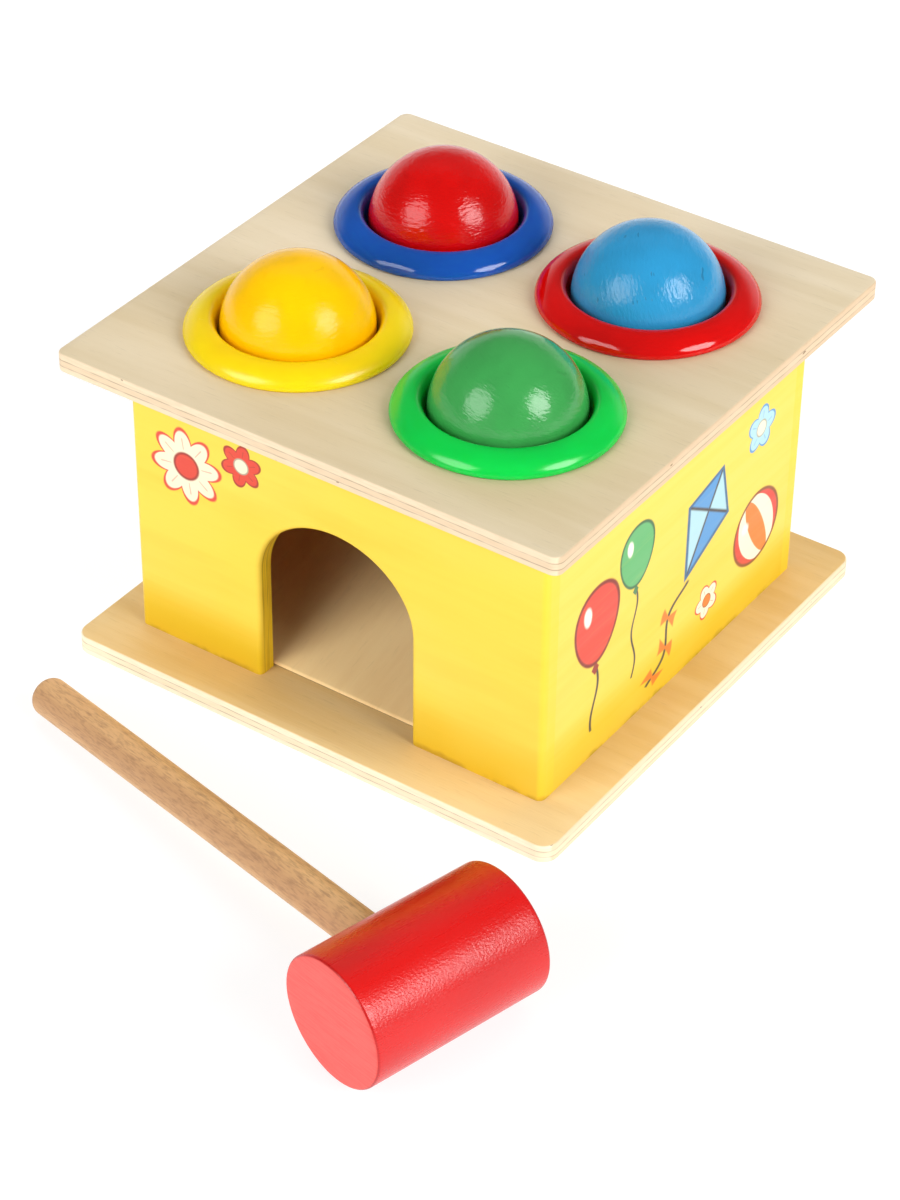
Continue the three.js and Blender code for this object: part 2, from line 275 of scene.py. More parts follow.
def turned(profile, angles):
    """A profile of (r, h) turned about Z: point = (r cos a, r sin a, h), one row for each angle."""
    r, h = np.asarray(profile, float).T
    a = np.asarray(angles)[:, None]
    return np.stack([r * np.cos(a), r * np.sin(a), h + 0 * a], -1)


def full_turn(steps=TURN_STEPS):
    """Equal angles round a circle."""
    return np.arange(steps) * 2 * np.pi / steps


def capped(rows, heart_first, heart_last):
    """Adds a row of one repeated point before and after, which closes both ends of a tube."""
    first = np.broadcast_to(heart_first, rows[:1].shape)
    last = np.broadcast_to(heart_last, rows[:1].shape)
    return np.concatenate([first, rows, last])


def piece(name, shells, finishes, body, nodes, place=None):
    """Makes a closed, outward-facing mesh from shells and lets it stand for CAD nodes."""
    points, quads, tones = together(shells)
    if place is not None:
        points = points @ np.array(place.to_3x3()).T + np.array(place.translation)
    mesh = bpy.data.meshes.new(name)
    mesh.from_pydata((points * MM).tolist(), [], quads.tolist())
    mesh.polygons.foreach_set("material_index", tones.astype(np.int32))
    made = bmesh.new()
    made.from_mesh(mesh)
    bmesh.ops.remove_doubles(made, verts=made.verts, dist=MERGE * MM)
    bmesh.ops.dissolve_degenerate(made, dist=MERGE * MM, edges=made.edges)
    bmesh.ops.recalc_face_normals(made, faces=made.faces)
    made.to_mesh(mesh)
    made.free()
    mesh.polygons.foreach_set("use_smooth", np.ones(len(mesh.polygons), bool))
    mesh.set_sharp_from_angle(angle=math.radians(CREASE))
    for finish in finishes:
        mesh.materials.append(finish)
    obj = bpy.data.objects.new(name, mesh)
    bpy.context.scene.collection.objects.link(obj)
    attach(obj, body)
    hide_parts(*nodes)
    return obj


# Plates


def divided(lines, steps=CELL_STEPS):
    """Each gap between neighbouring lines cut into equal steps."""
    parts = [np.linspace(a, b, steps, endpoint=False) for a, b in zip(lines[:-1], lines[1:])]
    return np.concatenate(parts + [lines[-1:]])


def cell_border(x, y, steps=CELL_STEPS):
    """Points round the border of a rectangle, every side cut into equal steps."""
    t = np.arange(steps) / steps
    along, up = x[0] + t * (x[1] - x[0]), y[0] + t * (y[1] - y[0])
    sides = [
        np.stack([along, np.full(steps, y[0])], -1),
        np.stack([np.full(steps, x[1]), up], -1),
        np.stack([x[1] + x[0] - along, np.full(steps, y[1])], -1),
        np.stack([np.full(steps, x[0]), y[1] + y[0] - up], -1),
    ]
    return np.concatenate(sides)


def flat_face(lines_x, lines_y, holes, wall):
    """A flat face in rectangular cells. A plain cell is an even grid. A cell round a hole is ruled,
    point = circle + t (border - circle), and the hole's wall carries the circle along the (r, z) rows."""
    z = wall[0][1]
    shells = []
    for x in zip(lines_x[:-1], lines_x[1:]):
        for y in zip(lines_y[:-1], lines_y[1:]):
            inside = [h for h in holes if x[0] < h[0] < x[1] and y[0] < h[1] < y[1]]
            if not inside:
                u, v = np.meshgrid(divided(np.array(x)), divided(np.array(y)), indexing="ij")
                shells.append(grid(np.stack([u, v, np.full_like(u, z)], -1)))
                continue
            centre = np.array(inside[0])
            border = cell_border(x, y)
            turn = np.arctan2(*(border - centre).T[::-1])
            ray = np.stack([np.cos(turn), np.sin(turn)], -1)
            circle = centre + wall[0][0] * ray
            t = np.linspace(0, 1, RULED_ROWS)[:, None, None]
            ruled = circle + t * (border - circle)
            level = np.full(ruled.shape[:2] + (1,), z)
            shells.append(grid(np.concatenate([ruled, level], -1), wrap_columns=True))
            rows = [np.column_stack([centre + r * ray, np.full(len(ray), h)]) for r, h in wall]
            shells.append(grid(np.array(rows), wrap_columns=True))
    return shells


def edge_band(lines_x, lines_y, section):
    """A section of (reach, z) points carried round the plate: point = inner rectangle + reach * normal.
    At a corner the rectangle's point stays and the normal turns a quarter."""
    x, y = divided(lines_x), divided(lines_y)
    sides = [
        (np.stack([x, np.full(len(x), y[0])], -1), -90),
        (np.stack([np.full(len(y), x[-1]), y], -1), 0),
        (np.stack([x[::-1], np.full(len(x), y[-1])], -1), 90),
        (np.stack([np.full(len(y), x[0]), y[::-1]], -1), 180),
    ]
    base, heading = [], []
    quarter = 90 * np.arange(1, ARC_STEPS + 1) / ARC_STEPS
    for points, angle in sides:
        base += [points, np.repeat(points[-1:], ARC_STEPS, axis=0)]
        heading += [np.full(len(points), float(angle)), angle + quarter]
    base, heading = np.concatenate(base), np.radians(np.concatenate(heading))
    normal = np.stack([np.cos(heading), np.sin(heading)], -1)
    reach, z = np.array(section).T
    flat = base[:, None] + reach[:, None] * normal[:, None]
    level = np.broadcast_to(z[:, None], flat.shape[:2] + (1,))
    return grid(np.concatenate([flat, level], -1), wrap_rows=True)


def plate(lo, hi, corner, cuts_x, cuts_y, holes, top_wall, under_wall):
    """Two flat faces joined by an eased edge band and by the walls of the holes."""
    inner = hi[:2] - corner
    lines_x = np.array([-inner[0], *cuts_x, inner[0]], float)
    lines_y = np.array([-inner[1], *cuts_y, inner[1]], float)
    straight = corner - PLATE_EASE
    upper = arc((straight, hi[2] - PLATE_EASE), (PLATE_EASE, PLATE_EASE), 90, 0, EASE_STEPS)
    lower = arc((straight, lo[2] + PLATE_EASE), (PLATE_EASE, PLATE_EASE), 0, -90, EASE_STEPS)
    section = np.concatenate([[(0, hi[2])], upper, lower, [(0, lo[2])]])
    shells = [edge_band(lines_x, lines_y, section)]
    shells += flat_face(lines_x, lines_y, holes if len(top_wall) > 1 else [], top_wall)
    shells += flat_face(lines_x, lines_y, holes, under_wall)
    return shells


# Walls


def doorway_path(foot, top, half):
    """Inner outline up one jamb, over the half ellipse and down the other, with the outer outline beside it.
    Columns: inner x, z; normal into the wood x, z; outer x, z; side (-1 left, 0 top, 1 right)."""
    mid = foot + JAMB_SHARE * (top - foot)
    rise = ARCH_TOP - ARCH_SPRING

    def jamb(sign):
        # Straight up one side of the doorway
        z = np.linspace(foot, ARCH_SPRING, JAMB_ROWS)
        outer = np.linspace(foot, mid, JAMB_ROWS)
        side = np.full(JAMB_ROWS, sign)
        return np.stack([side * ARCH_HALF, z, side, 0 * z, side * half, outer, side], -1)

    def bow(start, end, outer_x, outer_z, side):
        # A share of the half ellipse between two angles
        n = 2 * JAMB_ROWS
        a = np.radians(np.linspace(start, end, n))
        across = np.stack([np.cos(a) / ARCH_HALF, np.sin(a) / rise], -1)
        across /= np.linalg.norm(across, axis=1)[:, None]
        inner = np.stack([ARCH_HALF * np.cos(a), ARCH_SPRING + rise * np.sin(a)], -1)
        outer = np.stack([np.linspace(*outer_x, n), np.linspace(*outer_z, n)], -1)
        return np.concatenate([inner, across, outer, np.full((n, 1), side)], -1)

    return np.concatenate([
        jamb(-1.0),
        bow(180, 135, (-half, -half), (mid, top), -1.0),
        bow(135, 45, (-half, half), (top, top), 0.0),
        bow(45, 0, (half, half), (top, mid), 1.0),
        jamb(1.0)[::-1],
    ])


def doorway_wall(lo, hi):
    """A closed section carried along the doorway's outline: jamb, eased edge, front face, rounded corner,
    inner face. Its outer end follows the wall's own outline."""
    path = doorway_path(lo[2], hi[2], hi[0] - BOX_CORNER)
    inner, normal, outer = path[:, None, 0:2], path[:, None, 2:4], path[:, None, 4:6]
    side = path[:, None, 6]
    a = np.radians(np.linspace(0, 90, ARC_STEPS + 1))
    front, back = lo[1], hi[1]

    def column(flat, y):
        # Points (x, z) of the outline at a depth y in the wall
        y = np.broadcast_to(y, flat.shape[:2])
        return np.stack([flat[..., 0], y, flat[..., 1]], -1)

    jamb = column(inner, back)
    inward = JAMB_EASE * (1 - np.cos(a))[:, None] * normal
    eased = column(inner + inward, front + JAMB_EASE * (1 - np.sin(a)))
    swing = np.stack([side * BOX_CORNER * np.sin(a), 0 * side * a], -1)
    corner = column(outer + swing, front + BOX_CORNER * (1 - np.cos(a)))
    edge = column(outer + np.stack([side * BOX_CORNER, 0 * side], -1), back)
    loop = np.concatenate([jamb, eased, corner, edge], 1)
    tones = np.zeros(loop.shape[1], int)
    tones[0] = JAMB_TONE
    tones[-1] = INSIDE_SHADE_TONE
    rows = capped(loop, loop[0].mean(0), loop[-1].mean(0))
    return [grid(rows, wrap_columns=True, tones=tones)]


def plain_wall(lo, hi):
    """A plan outline with two rounded outer corners carried up along Z."""
    x, y = hi[0] - BOX_CORNER, hi[1] - BOX_CORNER
    right = arc((x, y), (BOX_CORNER, BOX_CORNER), 0, 90, ARC_STEPS)
    left = arc((-x, y), (BOX_CORNER, BOX_CORNER), 90, 180, ARC_STEPS)
    plan = np.concatenate([[(lo[0], lo[1]), (hi[0], lo[1])], right, left])
    loops = np.array([np.column_stack([plan, np.full(len(plan), z)]) for z in (lo[2], hi[2])])
    tones = np.zeros(len(plan), int)
    tones[0] = INSIDE_SHADE_TONE
    return [grid(capped(loops, loops[0].mean(0), loops[1].mean(0)), wrap_columns=True, tones=tones)]


def ramp_shells(lo, hi):
    """The board's side outline carried along X. Its nose is an arc from upright to the slope, and its foot
    is planed flat on the base."""
    rise = math.tan(RAMP_SLOPE)
    front, back = lo[1], hi[1]
    end = (front + RAMP_NOSE * (1 - math.sin(RAMP_SLOPE)), hi[2])
    heart = (front + RAMP_NOSE, hi[2] - (back - end[0]) * rise - RAMP_NOSE * math.cos(RAMP_SLOPE))
    nose = arc(heart, (RAMP_NOSE, RAMP_NOSE), 90 + math.degrees(RAMP_SLOPE), 180, ARC_STEPS)
    under = hi[2] - RAMP_T / math.cos(RAMP_SLOPE)
    outline = np.concatenate([
        [(front + RAMP_EASE, lo[2]), (front + RAMP_FOOT, lo[2]), (back, under), (back, hi[2])],
        nose,
        [(front, lo[2] + RAMP_EASE)],
    ])
    loops = np.array([np.column_stack([np.full(len(outline), x), outline]) for x in (lo[0], hi[0])])
    return [grid(capped(loops, loops[0].mean(0), loops[1].mean(0)), wrap_columns=True)]


# Rings and balls


def ring_shells(centre, flange_r, crest):
    """Domed flange, rounded mouth and throat turned about the ring's axis, and spring fingers below, each a
    closed section carried round its share of the circle. The flank follows |x|^p + |z|^p = 1."""
    foot = flange_r - FLANGE_EDGE
    slope = (MOUTH_R - THROAT_R) / (crest - LIP_DROP + GRIP_TOP)
    neck = THROAT_R + slope * (GRIP_TOP - SLIT_TOP)
    flank = arc((0, 0), (1, 1), 0, 90, FLANK_STEPS).clip(0) ** (2 / FLANK_POWER)
    profile = np.concatenate([
        arc((foot, FLANGE_EDGE), (FLANGE_EDGE, FLANGE_EDGE), -90, 0, FLANGE_STEPS),
        (CREST_R, FLANGE_EDGE) + flank[1:] * (flange_r - CREST_R, crest - FLANGE_EDGE),
        arc((CREST_R, crest - LIP_DROP), (CREST_R - MOUTH_R, LIP_DROP), 90, 180, LIP_STEPS)[1:],
        [(neck, -SLIT_TOP), (SLEEVE_R, -SLIT_TOP), (SLEEVE_R, 0)],
    ])
    shells = [grid(turned(profile, full_turn()), True, True)]
    finger = [
        (neck, -FINGER_ROOT), (THROAT_R, -GRIP_TOP), (THROAT_R, -GRIP_END), (SKIRT_R, -SKIRT_H),
        (SLEEVE_R, -SKIRT_H), (SNAP_R, -SNAP_END), (SNAP_R, -SNAP_TOP), (SLEEVE_R, -SNAP_TOP),
        (SLEEVE_R, -FINGER_ROOT),
    ]
    share = 180 / SLIT_COUNT - SLIT_HALF_ANGLE
    for k in range(SLIT_COUNT):
        angles = np.radians(360 * k / SLIT_COUNT + np.linspace(-share, share, FINGER_STEPS))
        hearts = turned([FINGER_HEART], angles[[0, -1]])
        shells.append(grid(capped(turned(finger, angles), hearts[0], hearts[1]), wrap_columns=True))
    return [(points + centre, quads, tones) for points, quads, tones in shells]


def ball_shells(centre, radius, seed):
    """A turned ball: point = centre + R (1 - u) n, where u is a few low waves of the angles and a slight
    flat at both poles."""
    a, b = np.meshgrid(full_turn(), np.linspace(0, np.pi, BALL_RINGS + 1))
    uneven = BALL_WAVE * (2 + np.sin(2 * a + seed) * np.sin(b) ** 2 + np.cos(3 * b + seed))
    flat_pole = BALL_FLAT * np.exp(-((np.sin(b) / BALL_FLAT_WIDTH) ** 2))
    r = radius * (1 - uneven - flat_pole)
    points = np.stack([r * np.sin(b) * np.cos(a), r * np.sin(b) * np.sin(a), r * np.cos(b)], -1)
    return [grid(points + centre, wrap_columns=True)]


# Hammer


def rolled(x, a):
    """The head's unrolled side rolled up: (x, a) becomes (x, R cos a, R sin a)."""
    return np.stack([x, HEAD_R * np.cos(a), HEAD_R * np.sin(a)], -1)


def socket_cell(x, a):
    """The head's side round the socket, ruled from the socket's circle to the border of the cell, and the
    socket's own wall and flat bottom."""
    border = cell_border(x, a, HEAD_STEPS)
    turn = np.arctan2(np.sin(border[:, 1]) * HEAD_R, border[:, 0])
    circle = np.stack([np.cos(turn) * SOCKET_R, np.arcsin(np.sin(turn) * SOCKET_R / HEAD_R)], -1)
    t = np.linspace(0, 1, SOCKET_ROWS)[:, None, None]
    u, v = np.moveaxis(circle + t * (border - circle), -1, 0)
    mouth = rolled(*circle.T)
    bottom = mouth * [1, 0, 1] + [0, SOCKET_END, 0]
    heart = np.broadcast_to([0, SOCKET_END, 0], mouth.shape)
    return [grid(np.array([mouth, bottom, heart]), wrap_columns=True), grid(rolled(u, v), wrap_columns=True)]


def head_shells():
    """The head's side in cells along X and round it, one of them with the socket. The ends are a rounded
    profile turned about X."""
    straight = HEAD_HALF - HEAD_ROUND
    lines_x = np.array([-straight, -SOCKET_CELL, SOCKET_CELL, straight])
    lines_a = np.radians([-SOCKET_ANGLE, *range(SOCKET_ANGLE, 360, SOCKET_ANGLE)])
    shells = []
    for x in zip(lines_x[:-1], lines_x[1:]):
        for a in zip(lines_a[:-1], lines_a[1:]):
            if a[0] < 0 and x[0] == -SOCKET_CELL:
                shells += socket_cell(x, a)
                continue
            along, round_it = np.linspace(*x, HEAD_STEPS + 1), np.linspace(*a, HEAD_STEPS + 1)
            shells.append(grid(rolled(*np.meshgrid(along, round_it, indexing="ij"))))
    rim = arc((HEAD_R - HEAD_ROUND, straight), (HEAD_ROUND, HEAD_ROUND), 0, 90, RIM_STEPS)
    disc = np.stack([np.linspace(HEAD_R - HEAD_ROUND, 0, DISC_ROWS), np.full(DISC_ROWS, HEAD_HALF)], -1)
    end = turned(np.concatenate([rim, disc[1:]]), divided(lines_a, HEAD_STEPS)[:-1])
    for sign in (-1, 1):
        shells.append(grid(np.stack([sign * end[..., 2], end[..., 0], end[..., 1]], -1), wrap_rows=True))
    return shells


def handle_shells():
    """A dowel with a rounded tip turned about Y; its radius r(y) swells and shrinks by a hair."""
    y = np.linspace(HANDLE_START, HANDLE_REACH - HANDLE_ROUND, HANDLE_ROWS)
    swell = np.sin(y / HANDLE_WAVES[0]) * np.cos(y / HANDLE_WAVES[1])
    body = np.stack([HANDLE_R - HANDLE_SWELL * (1 + swell), y], -1)
    tip = arc((body[-1, 0] - HANDLE_ROUND, y[-1]), (HANDLE_ROUND, HANDLE_ROUND), 0, 90, ARC_STEPS)[1:]
    profile = np.concatenate([[(0, y[0])], body, tip, [(0, HANDLE_REACH)]])
    rows = turned(profile, full_turn(HANDLE_STEPS))
    return [grid(np.stack([rows[..., 1], rows[..., 2], rows[..., 0]], -1), wrap_rows=True)]


def hammer_place():
    """The hammer lies on its head, tipped about the head's axis until the handle's end is on the table."""
    lo, hi = span("hammer_head")
    to_round = HANDLE_REACH - HANDLE_ROUND
    fall = math.asin((HEAD_R - TABLE_GAP) / math.hypot(to_round, HANDLE_R))
    tip = fall - math.atan2(HANDLE_R, to_round)
    turn = Matrix.Rotation(math.radians(HAMMER_TURN), 4, "Z") @ Matrix.Rotation(-tip, 4, "X")
    middle = (lo + hi) / 2
    return Matrix.Translation((middle[0], middle[1], HEAD_R + TABLE_GAP)) @ turn


# Screws


def screw_shells(foot):
    """A head with a cross recess, z = depth * step(arm) on a polar grid, then cone, shank and point turned
    about Z."""
    a = full_turn(SCREW_STEPS)
    r = np.linspace(0, SCREW_HEAD_R, SCREW_ROWS)
    x, y = r[None] * np.cos(a)[:, None], r[None] * np.sin(a)[:, None]
    near = np.minimum(np.abs(x), np.abs(y))
    arm = np.clip((CROSS_HALF - near) / CROSS_SOFT + 0.5, 0, 1)
    arm = arm * np.clip((CROSS_R - r[None]) / CROSS_END_SOFT, 0, 1)
    face = np.stack([x, y, CROSS_DEPTH * arm], -1)
    cone = SCREW_RIM + SCREW_HEAD_R - SCREW_SHANK_R
    sides = turned([
        (SCREW_HEAD_R, SCREW_RIM), (SCREW_SHANK_R, cone),
        (SCREW_SHANK_R, SCREW_L - SCREW_POINT), (0, SCREW_L),
    ], a)
    return [grid(np.concatenate([face, sides], 1) + foot, wrap_rows=True)]


# Finishes


def linear(red, green, blue):
    """Screen colour 0-255 to linear light, as RGBA."""
    c = np.array([red, green, blue]) / 255
    c = np.where(c <= 0.04045, c / 12.92, ((c + 0.055) / 1.055) ** 2.4)
    return (*c.tolist(), 1.0)


def darker(colour, share):
    """The colour scaled towards black."""
    return tuple(share * v for v in colour)


def node(tree, kind, sockets=None, **settings):
    """Adds a node; a socket given another node's output is linked, any other value is set."""
    made = tree.nodes.new(kind)
    for key, value in settings.items():
        setattr(made, key, value)
    for key, value in (sockets or {}).items():
        if isinstance(value, bpy.types.NodeSocket):
            tree.links.new(value, made.inputs[key])
        else:
            made.inputs[key].default_value = value
    return made


def calc(tree, operation, *values):
    """The output of one Math node."""
    return node(tree, "ShaderNodeMath", dict(enumerate(values)), operation=operation).outputs[0]


def measure(tree, operation, *vectors, out=0):
    """The output of one Vector Math node."""
    return node(tree, "ShaderNodeVectorMath", dict(enumerate(vectors)), operation=operation).outputs[out]


def both(tree, *shares):
    """Product of shares: 1 where all of them are."""
    made = shares[0]
    for share in shares[1:]:
        made = calc(tree, "MULTIPLY", made, share)
    return made


def ease(tree, value, low, high, to_low=0.0, to_high=1.0):
    """Smooth step of value from low to high."""
    sockets = {"Value": value, "From Min": low, "From Max": high, "To Min": to_low, "To Max": to_high}
    return node(tree, "ShaderNodeMapRange", sockets, interpolation_type="SMOOTHSTEP").outputs[0]


def over(tree, share, under, top):
    """Lays the colour top on the colour under by share."""
    made = node(tree, "ShaderNodeMix", data_type="RGBA", clamp_factor=True)
    for index, value in ((0, share), (6, under), (7, top)):
        if isinstance(value, bpy.types.NodeSocket):
            tree.links.new(value, made.inputs[index])
        else:
            made.inputs[index].default_value = value
    return made.outputs[2]


def spot(tree):
    """The piece's own place in the shared frame, in metres."""
    return node(tree, "ShaderNodeTexCoord").outputs["Object"]


def apart(tree, vector):
    """The x, y and z of a vector."""
    made = node(tree, "ShaderNodeSeparateXYZ", {0: vector})
    return made.outputs[0], made.outputs[1], made.outputs[2]


def local(tree, place, where):
    """Coordinates in the frame of a matrix in millimetres."""
    sockets = {"Vector": where, "Location": place.translation * MM, "Rotation": place.to_euler()}
    return node(tree, "ShaderNodeMapping", sockets, vector_type="TEXTURE").outputs[0]


def fibres(tree, where, stretch, detail=4.0, roughness=0.55, distortion=0.0, shift=(0, 0, 0)):
    """Noise stretched along one direction: a small number in stretch means long streaks there."""
    mapped = node(tree, "ShaderNodeMapping", {"Vector": where, "Scale": stretch, "Location": shift})
    sockets = {"Vector": mapped.outputs[0], "Scale": 1.0, "Detail": detail, "Roughness": roughness,
               "Distortion": distortion}
    return node(tree, "ShaderNodeTexNoise", sockets).outputs[0]


def new_finish(name):
    """An empty material and its node tree."""
    made = bpy.data.materials.new(name)
    made.use_nodes = True
    made.node_tree.nodes.clear()
    return made, made.node_tree


def finish_off(tree, colour, roughness, height=None, depth=0.0001, **constants):
    """Principled shader with linked colour, roughness and bump; the rest is set on its own sockets."""
    sockets = {"Base Color": colour, "Roughness": roughness}
    sockets.update({key.replace("_", " "): value for key, value in constants.items()})
    if height is not None:
        bump = node(tree, "ShaderNodeBump", {"Height": height, "Distance": depth, "Strength": 1.0})
        sockets["Normal"] = bump.outputs[0]
    shader = node(tree, "ShaderNodeBsdfPrincipled", sockets)
    node(tree, "ShaderNodeOutputMaterial", {"Surface": shader.outputs[0]})


def plywood(name, lo, hi, corner, face_tones, edge_tones, paler):
    """Three-ply board: faintly streaked face, painted paler towards one side as painted light, and on the
    edge a middle ply between two glue lines. The grain runs along X, so the outer plies show darker end grain
    on the edges across X."""
    made, tree = new_finish(name)
    light, dark = face_tones
    edge_light, edge_dark = edge_tones
    where = spot(tree)
    streak = fibres(tree, where, (9, 150, 60), detail=5.0)
    broad = fibres(tree, where, (9, 26, 9), detail=3.0, shift=(3.1, 1.7, 0))
    pores = fibres(tree, where, (150, 1700, 300), detail=2.0)
    tone = calc(tree, "MULTIPLY_ADD", ease(tree, streak, 0.3, 0.75), 0.4,
                ease(tree, broad, 0.3, 0.7, 0.0, 0.6))
    toward, near, far = paler
    # Painted light: the face is painted paler towards one side, where more light falls
    side = ease(tree, measure(tree, "DOT_PRODUCT", where, toward, out="Value"), near, far, 0.35, -0.35)
    face = over(tree, calc(tree, "ADD", tone, side), linear(*light), linear(*dark))
    face = over(tree, ease(tree, pores, 0.6, 0.75, 0.0, 0.16), face, linear(*darker(dark, 0.75)))
    x, _, z = apart(tree, where)
    wave = fibres(tree, where, (60, 60, 20), detail=2.0)
    height = calc(tree, "MULTIPLY_ADD", calc(tree, "SUBTRACT", wave, 0.5), PLY_WAVE * MM, z)
    middle = 0.5 * (lo[2] + hi[2]) * MM
    ply = (hi[2] - lo[2]) / 6 * MM  # half the middle ply
    off = calc(tree, "ABSOLUTE", calc(tree, "SUBTRACT", height, middle))
    threads = fibres(tree, where, (160, 160, 1500), detail=3.0)
    edge = over(tree, ease(tree, threads, 0.4, 0.7, 0.0, 0.3), linear(*edge_light), linear(*edge_dark))
    edge = over(tree, ease(tree, off, 1.05 * ply, 0.9 * ply, 0.0, 0.3), edge, linear(*edge_dark))
    start, full = ((hi[0] - depth) * MM for depth in SAWN_EDGE)
    sawn = ease(tree, calc(tree, "ABSOLUTE", x), start, full)
    end_grain = both(tree, sawn, ease(tree, off, 0.9 * ply, 1.05 * ply, 0.25, 0.7))
    edge = over(tree, end_grain, edge, linear(*edge_dark))
    beside = calc(tree, "ABSOLUTE", calc(tree, "SUBTRACT", off, ply))
    glue = ease(tree, beside, PLY_GLUE[0] * MM, PLY_GLUE[1] * MM)
    glue = both(tree, glue, ease(tree, threads, 0.35, 0.6, 0.25, 0.8))
    edge = over(tree, glue, edge, linear(*darker(edge_dark, 0.8)))
    nick = fibres(tree, where, (260, 260, 600), detail=1.0, shift=(6.4, 1.9, 3.3))
    edge = over(tree, ease(tree, nick, 0.77, 0.79, 0.0, 0.7), edge, linear(*PLY_NICK))
    away = measure(tree, "SUBTRACT", measure(tree, "ABSOLUTE", where), (*((hi[:2] - corner) * MM), 1.0))
    reach = measure(tree, "LENGTH", measure(tree, "MAXIMUM", away, (0, 0, 0)), out="Value")
    start, full = ((corner - 0.5 * PLATE_EASE + step) * MM for step in FACE_FADE)
    colour = over(tree, ease(tree, reach, start, full), face, edge)
    rough = ease(tree, streak, 0.3, 0.7, 0.5, 0.62)
    relief = calc(tree, "ADD", calc(tree, "MULTIPLY", streak, 0.5), calc(tree, "MULTIPLY", pores, -0.5))
    finish_off(tree, colour, rough, relief, depth=0.00008, Specular_IOR_Level=0.35)
    return made


def bare_board(name, light, dark, stretch, foot=0.0):
    """Bare sanded board with streaks along its length and, below the height foot, a painted shade line where
    it stands on the base."""
    made, tree = new_finish(name)
    where = spot(tree)
    streak = fibres(tree, where, stretch, detail=5.0)
    broad = fibres(tree, where, (22, 22, 22), detail=3.0)
    pores = fibres(tree, where, tuple(6 * v for v in stretch), detail=2.0)
    half = calc(tree, "MULTIPLY", broad, 0.5)
    tone = calc(tree, "MULTIPLY_ADD", ease(tree, streak, 0.3, 0.75), 0.5, half)
    colour = over(tree, tone, linear(*light), linear(*dark))
    colour = over(tree, ease(tree, pores, 0.58, 0.75, 0.0, 0.1), colour, linear(*darker(dark, 0.75)))
    if foot:
        z = apart(tree, where)[2]
        # Painted shade: a dark line under the nose where the board stands on the base
        painted_gap_shade = ease(tree, z, (foot + SHADE_LINE_FADE) * MM, (foot - SHADE_LINE_FADE) * MM, 0.0, 0.75)
        colour = over(tree, painted_gap_shade, colour, linear(*darker(dark, 0.45)))
    rough = ease(tree, streak, 0.3, 0.7, 0.6, 0.72)
    finish_off(tree, colour, rough, streak, depth=0.00005, Specular_IOR_Level=0.3)
    return made


# Prints on the walls, drawn in millimetres across and up the wall


def sheet(tree, across, up):
    """Places across and up a wall as one vector in millimetres."""
    flat = node(tree, "ShaderNodeCombineXYZ", {0: across, 1: up}).outputs[0]
    return measure(tree, "MULTIPLY", flat, (1 / MM, 1 / MM, 0))


def coat(tree, along, face, side):
    """1 in the coat on a wall's face, 0 deeper in the wood. The face lies at a place in millimetres along an
    axis and looks to side 1 or -1 of it."""
    return ease(tree, along, (face - side * COAT_START) * MM, (face - side * COAT_FULL) * MM)


def laid(tree, page, centre, turn, size):
    """Coordinates in which a motif is centred, upright and of unit size."""
    sockets = {"Vector": page, "Location": (*centre, 0), "Rotation": (0, 0, math.radians(turn)),
               "Scale": (*size, 1)}
    return node(tree, "ShaderNodeMapping", sockets, vector_type="TEXTURE").outputs[0]


def within(tree, distance, limit, soft=0.03):
    """1 where a distance is below a limit, with a soft edge."""
    return ease(tree, distance, limit + soft, limit - soft)


def balloon(tree, page, under, centre, size, tone, string_end):
    """An egg, |p| < 1 with x pinched towards the knot, and a wavy string below."""
    x, y, _ = apart(tree, laid(tree, page, centre, 0, size))
    pinched = calc(tree, "MULTIPLY", x, calc(tree, "MULTIPLY_ADD", y, -0.17, 1.0))
    egg = node(tree, "ShaderNodeCombineXYZ", {0: pinched, 1: y}).outputs[0]
    far = measure(tree, "LENGTH", egg, out="Value")
    wave = calc(tree, "MULTIPLY", calc(tree, "SINE", calc(tree, "MULTIPLY", y, 3.2)), 0.14)
    string = within(tree, calc(tree, "ABSOLUTE", calc(tree, "SUBTRACT", x, wave)), 0.05)
    string = both(tree, string, ease(tree, y, string_end, string_end + 0.05), ease(tree, y, -0.9, -1.0))
    knot = calc(tree, "ADD", calc(tree, "ABSOLUTE", x), calc(tree, "ABSOLUTE", calc(tree, "ADD", y, 1.1)))
    colour = over(tree, string, under, linear(*INK))
    colour = over(tree, within(tree, knot, 0.17), colour, linear(*darker(tone, 0.7)))
    colour = over(tree, within(tree, far, 1.0), colour, linear(*darker(tone, 0.6)))
    colour = over(tree, within(tree, far, 0.91), colour, linear(*tone))
    narrowed = measure(tree, "MULTIPLY", egg, (1.5, 1, 0))
    shine = measure(tree, "DISTANCE", narrowed, (-0.6, 0.38, 0), out="Value")
    return over(tree, within(tree, shine, 0.24, 0.06), colour, linear(*INK_PALE))


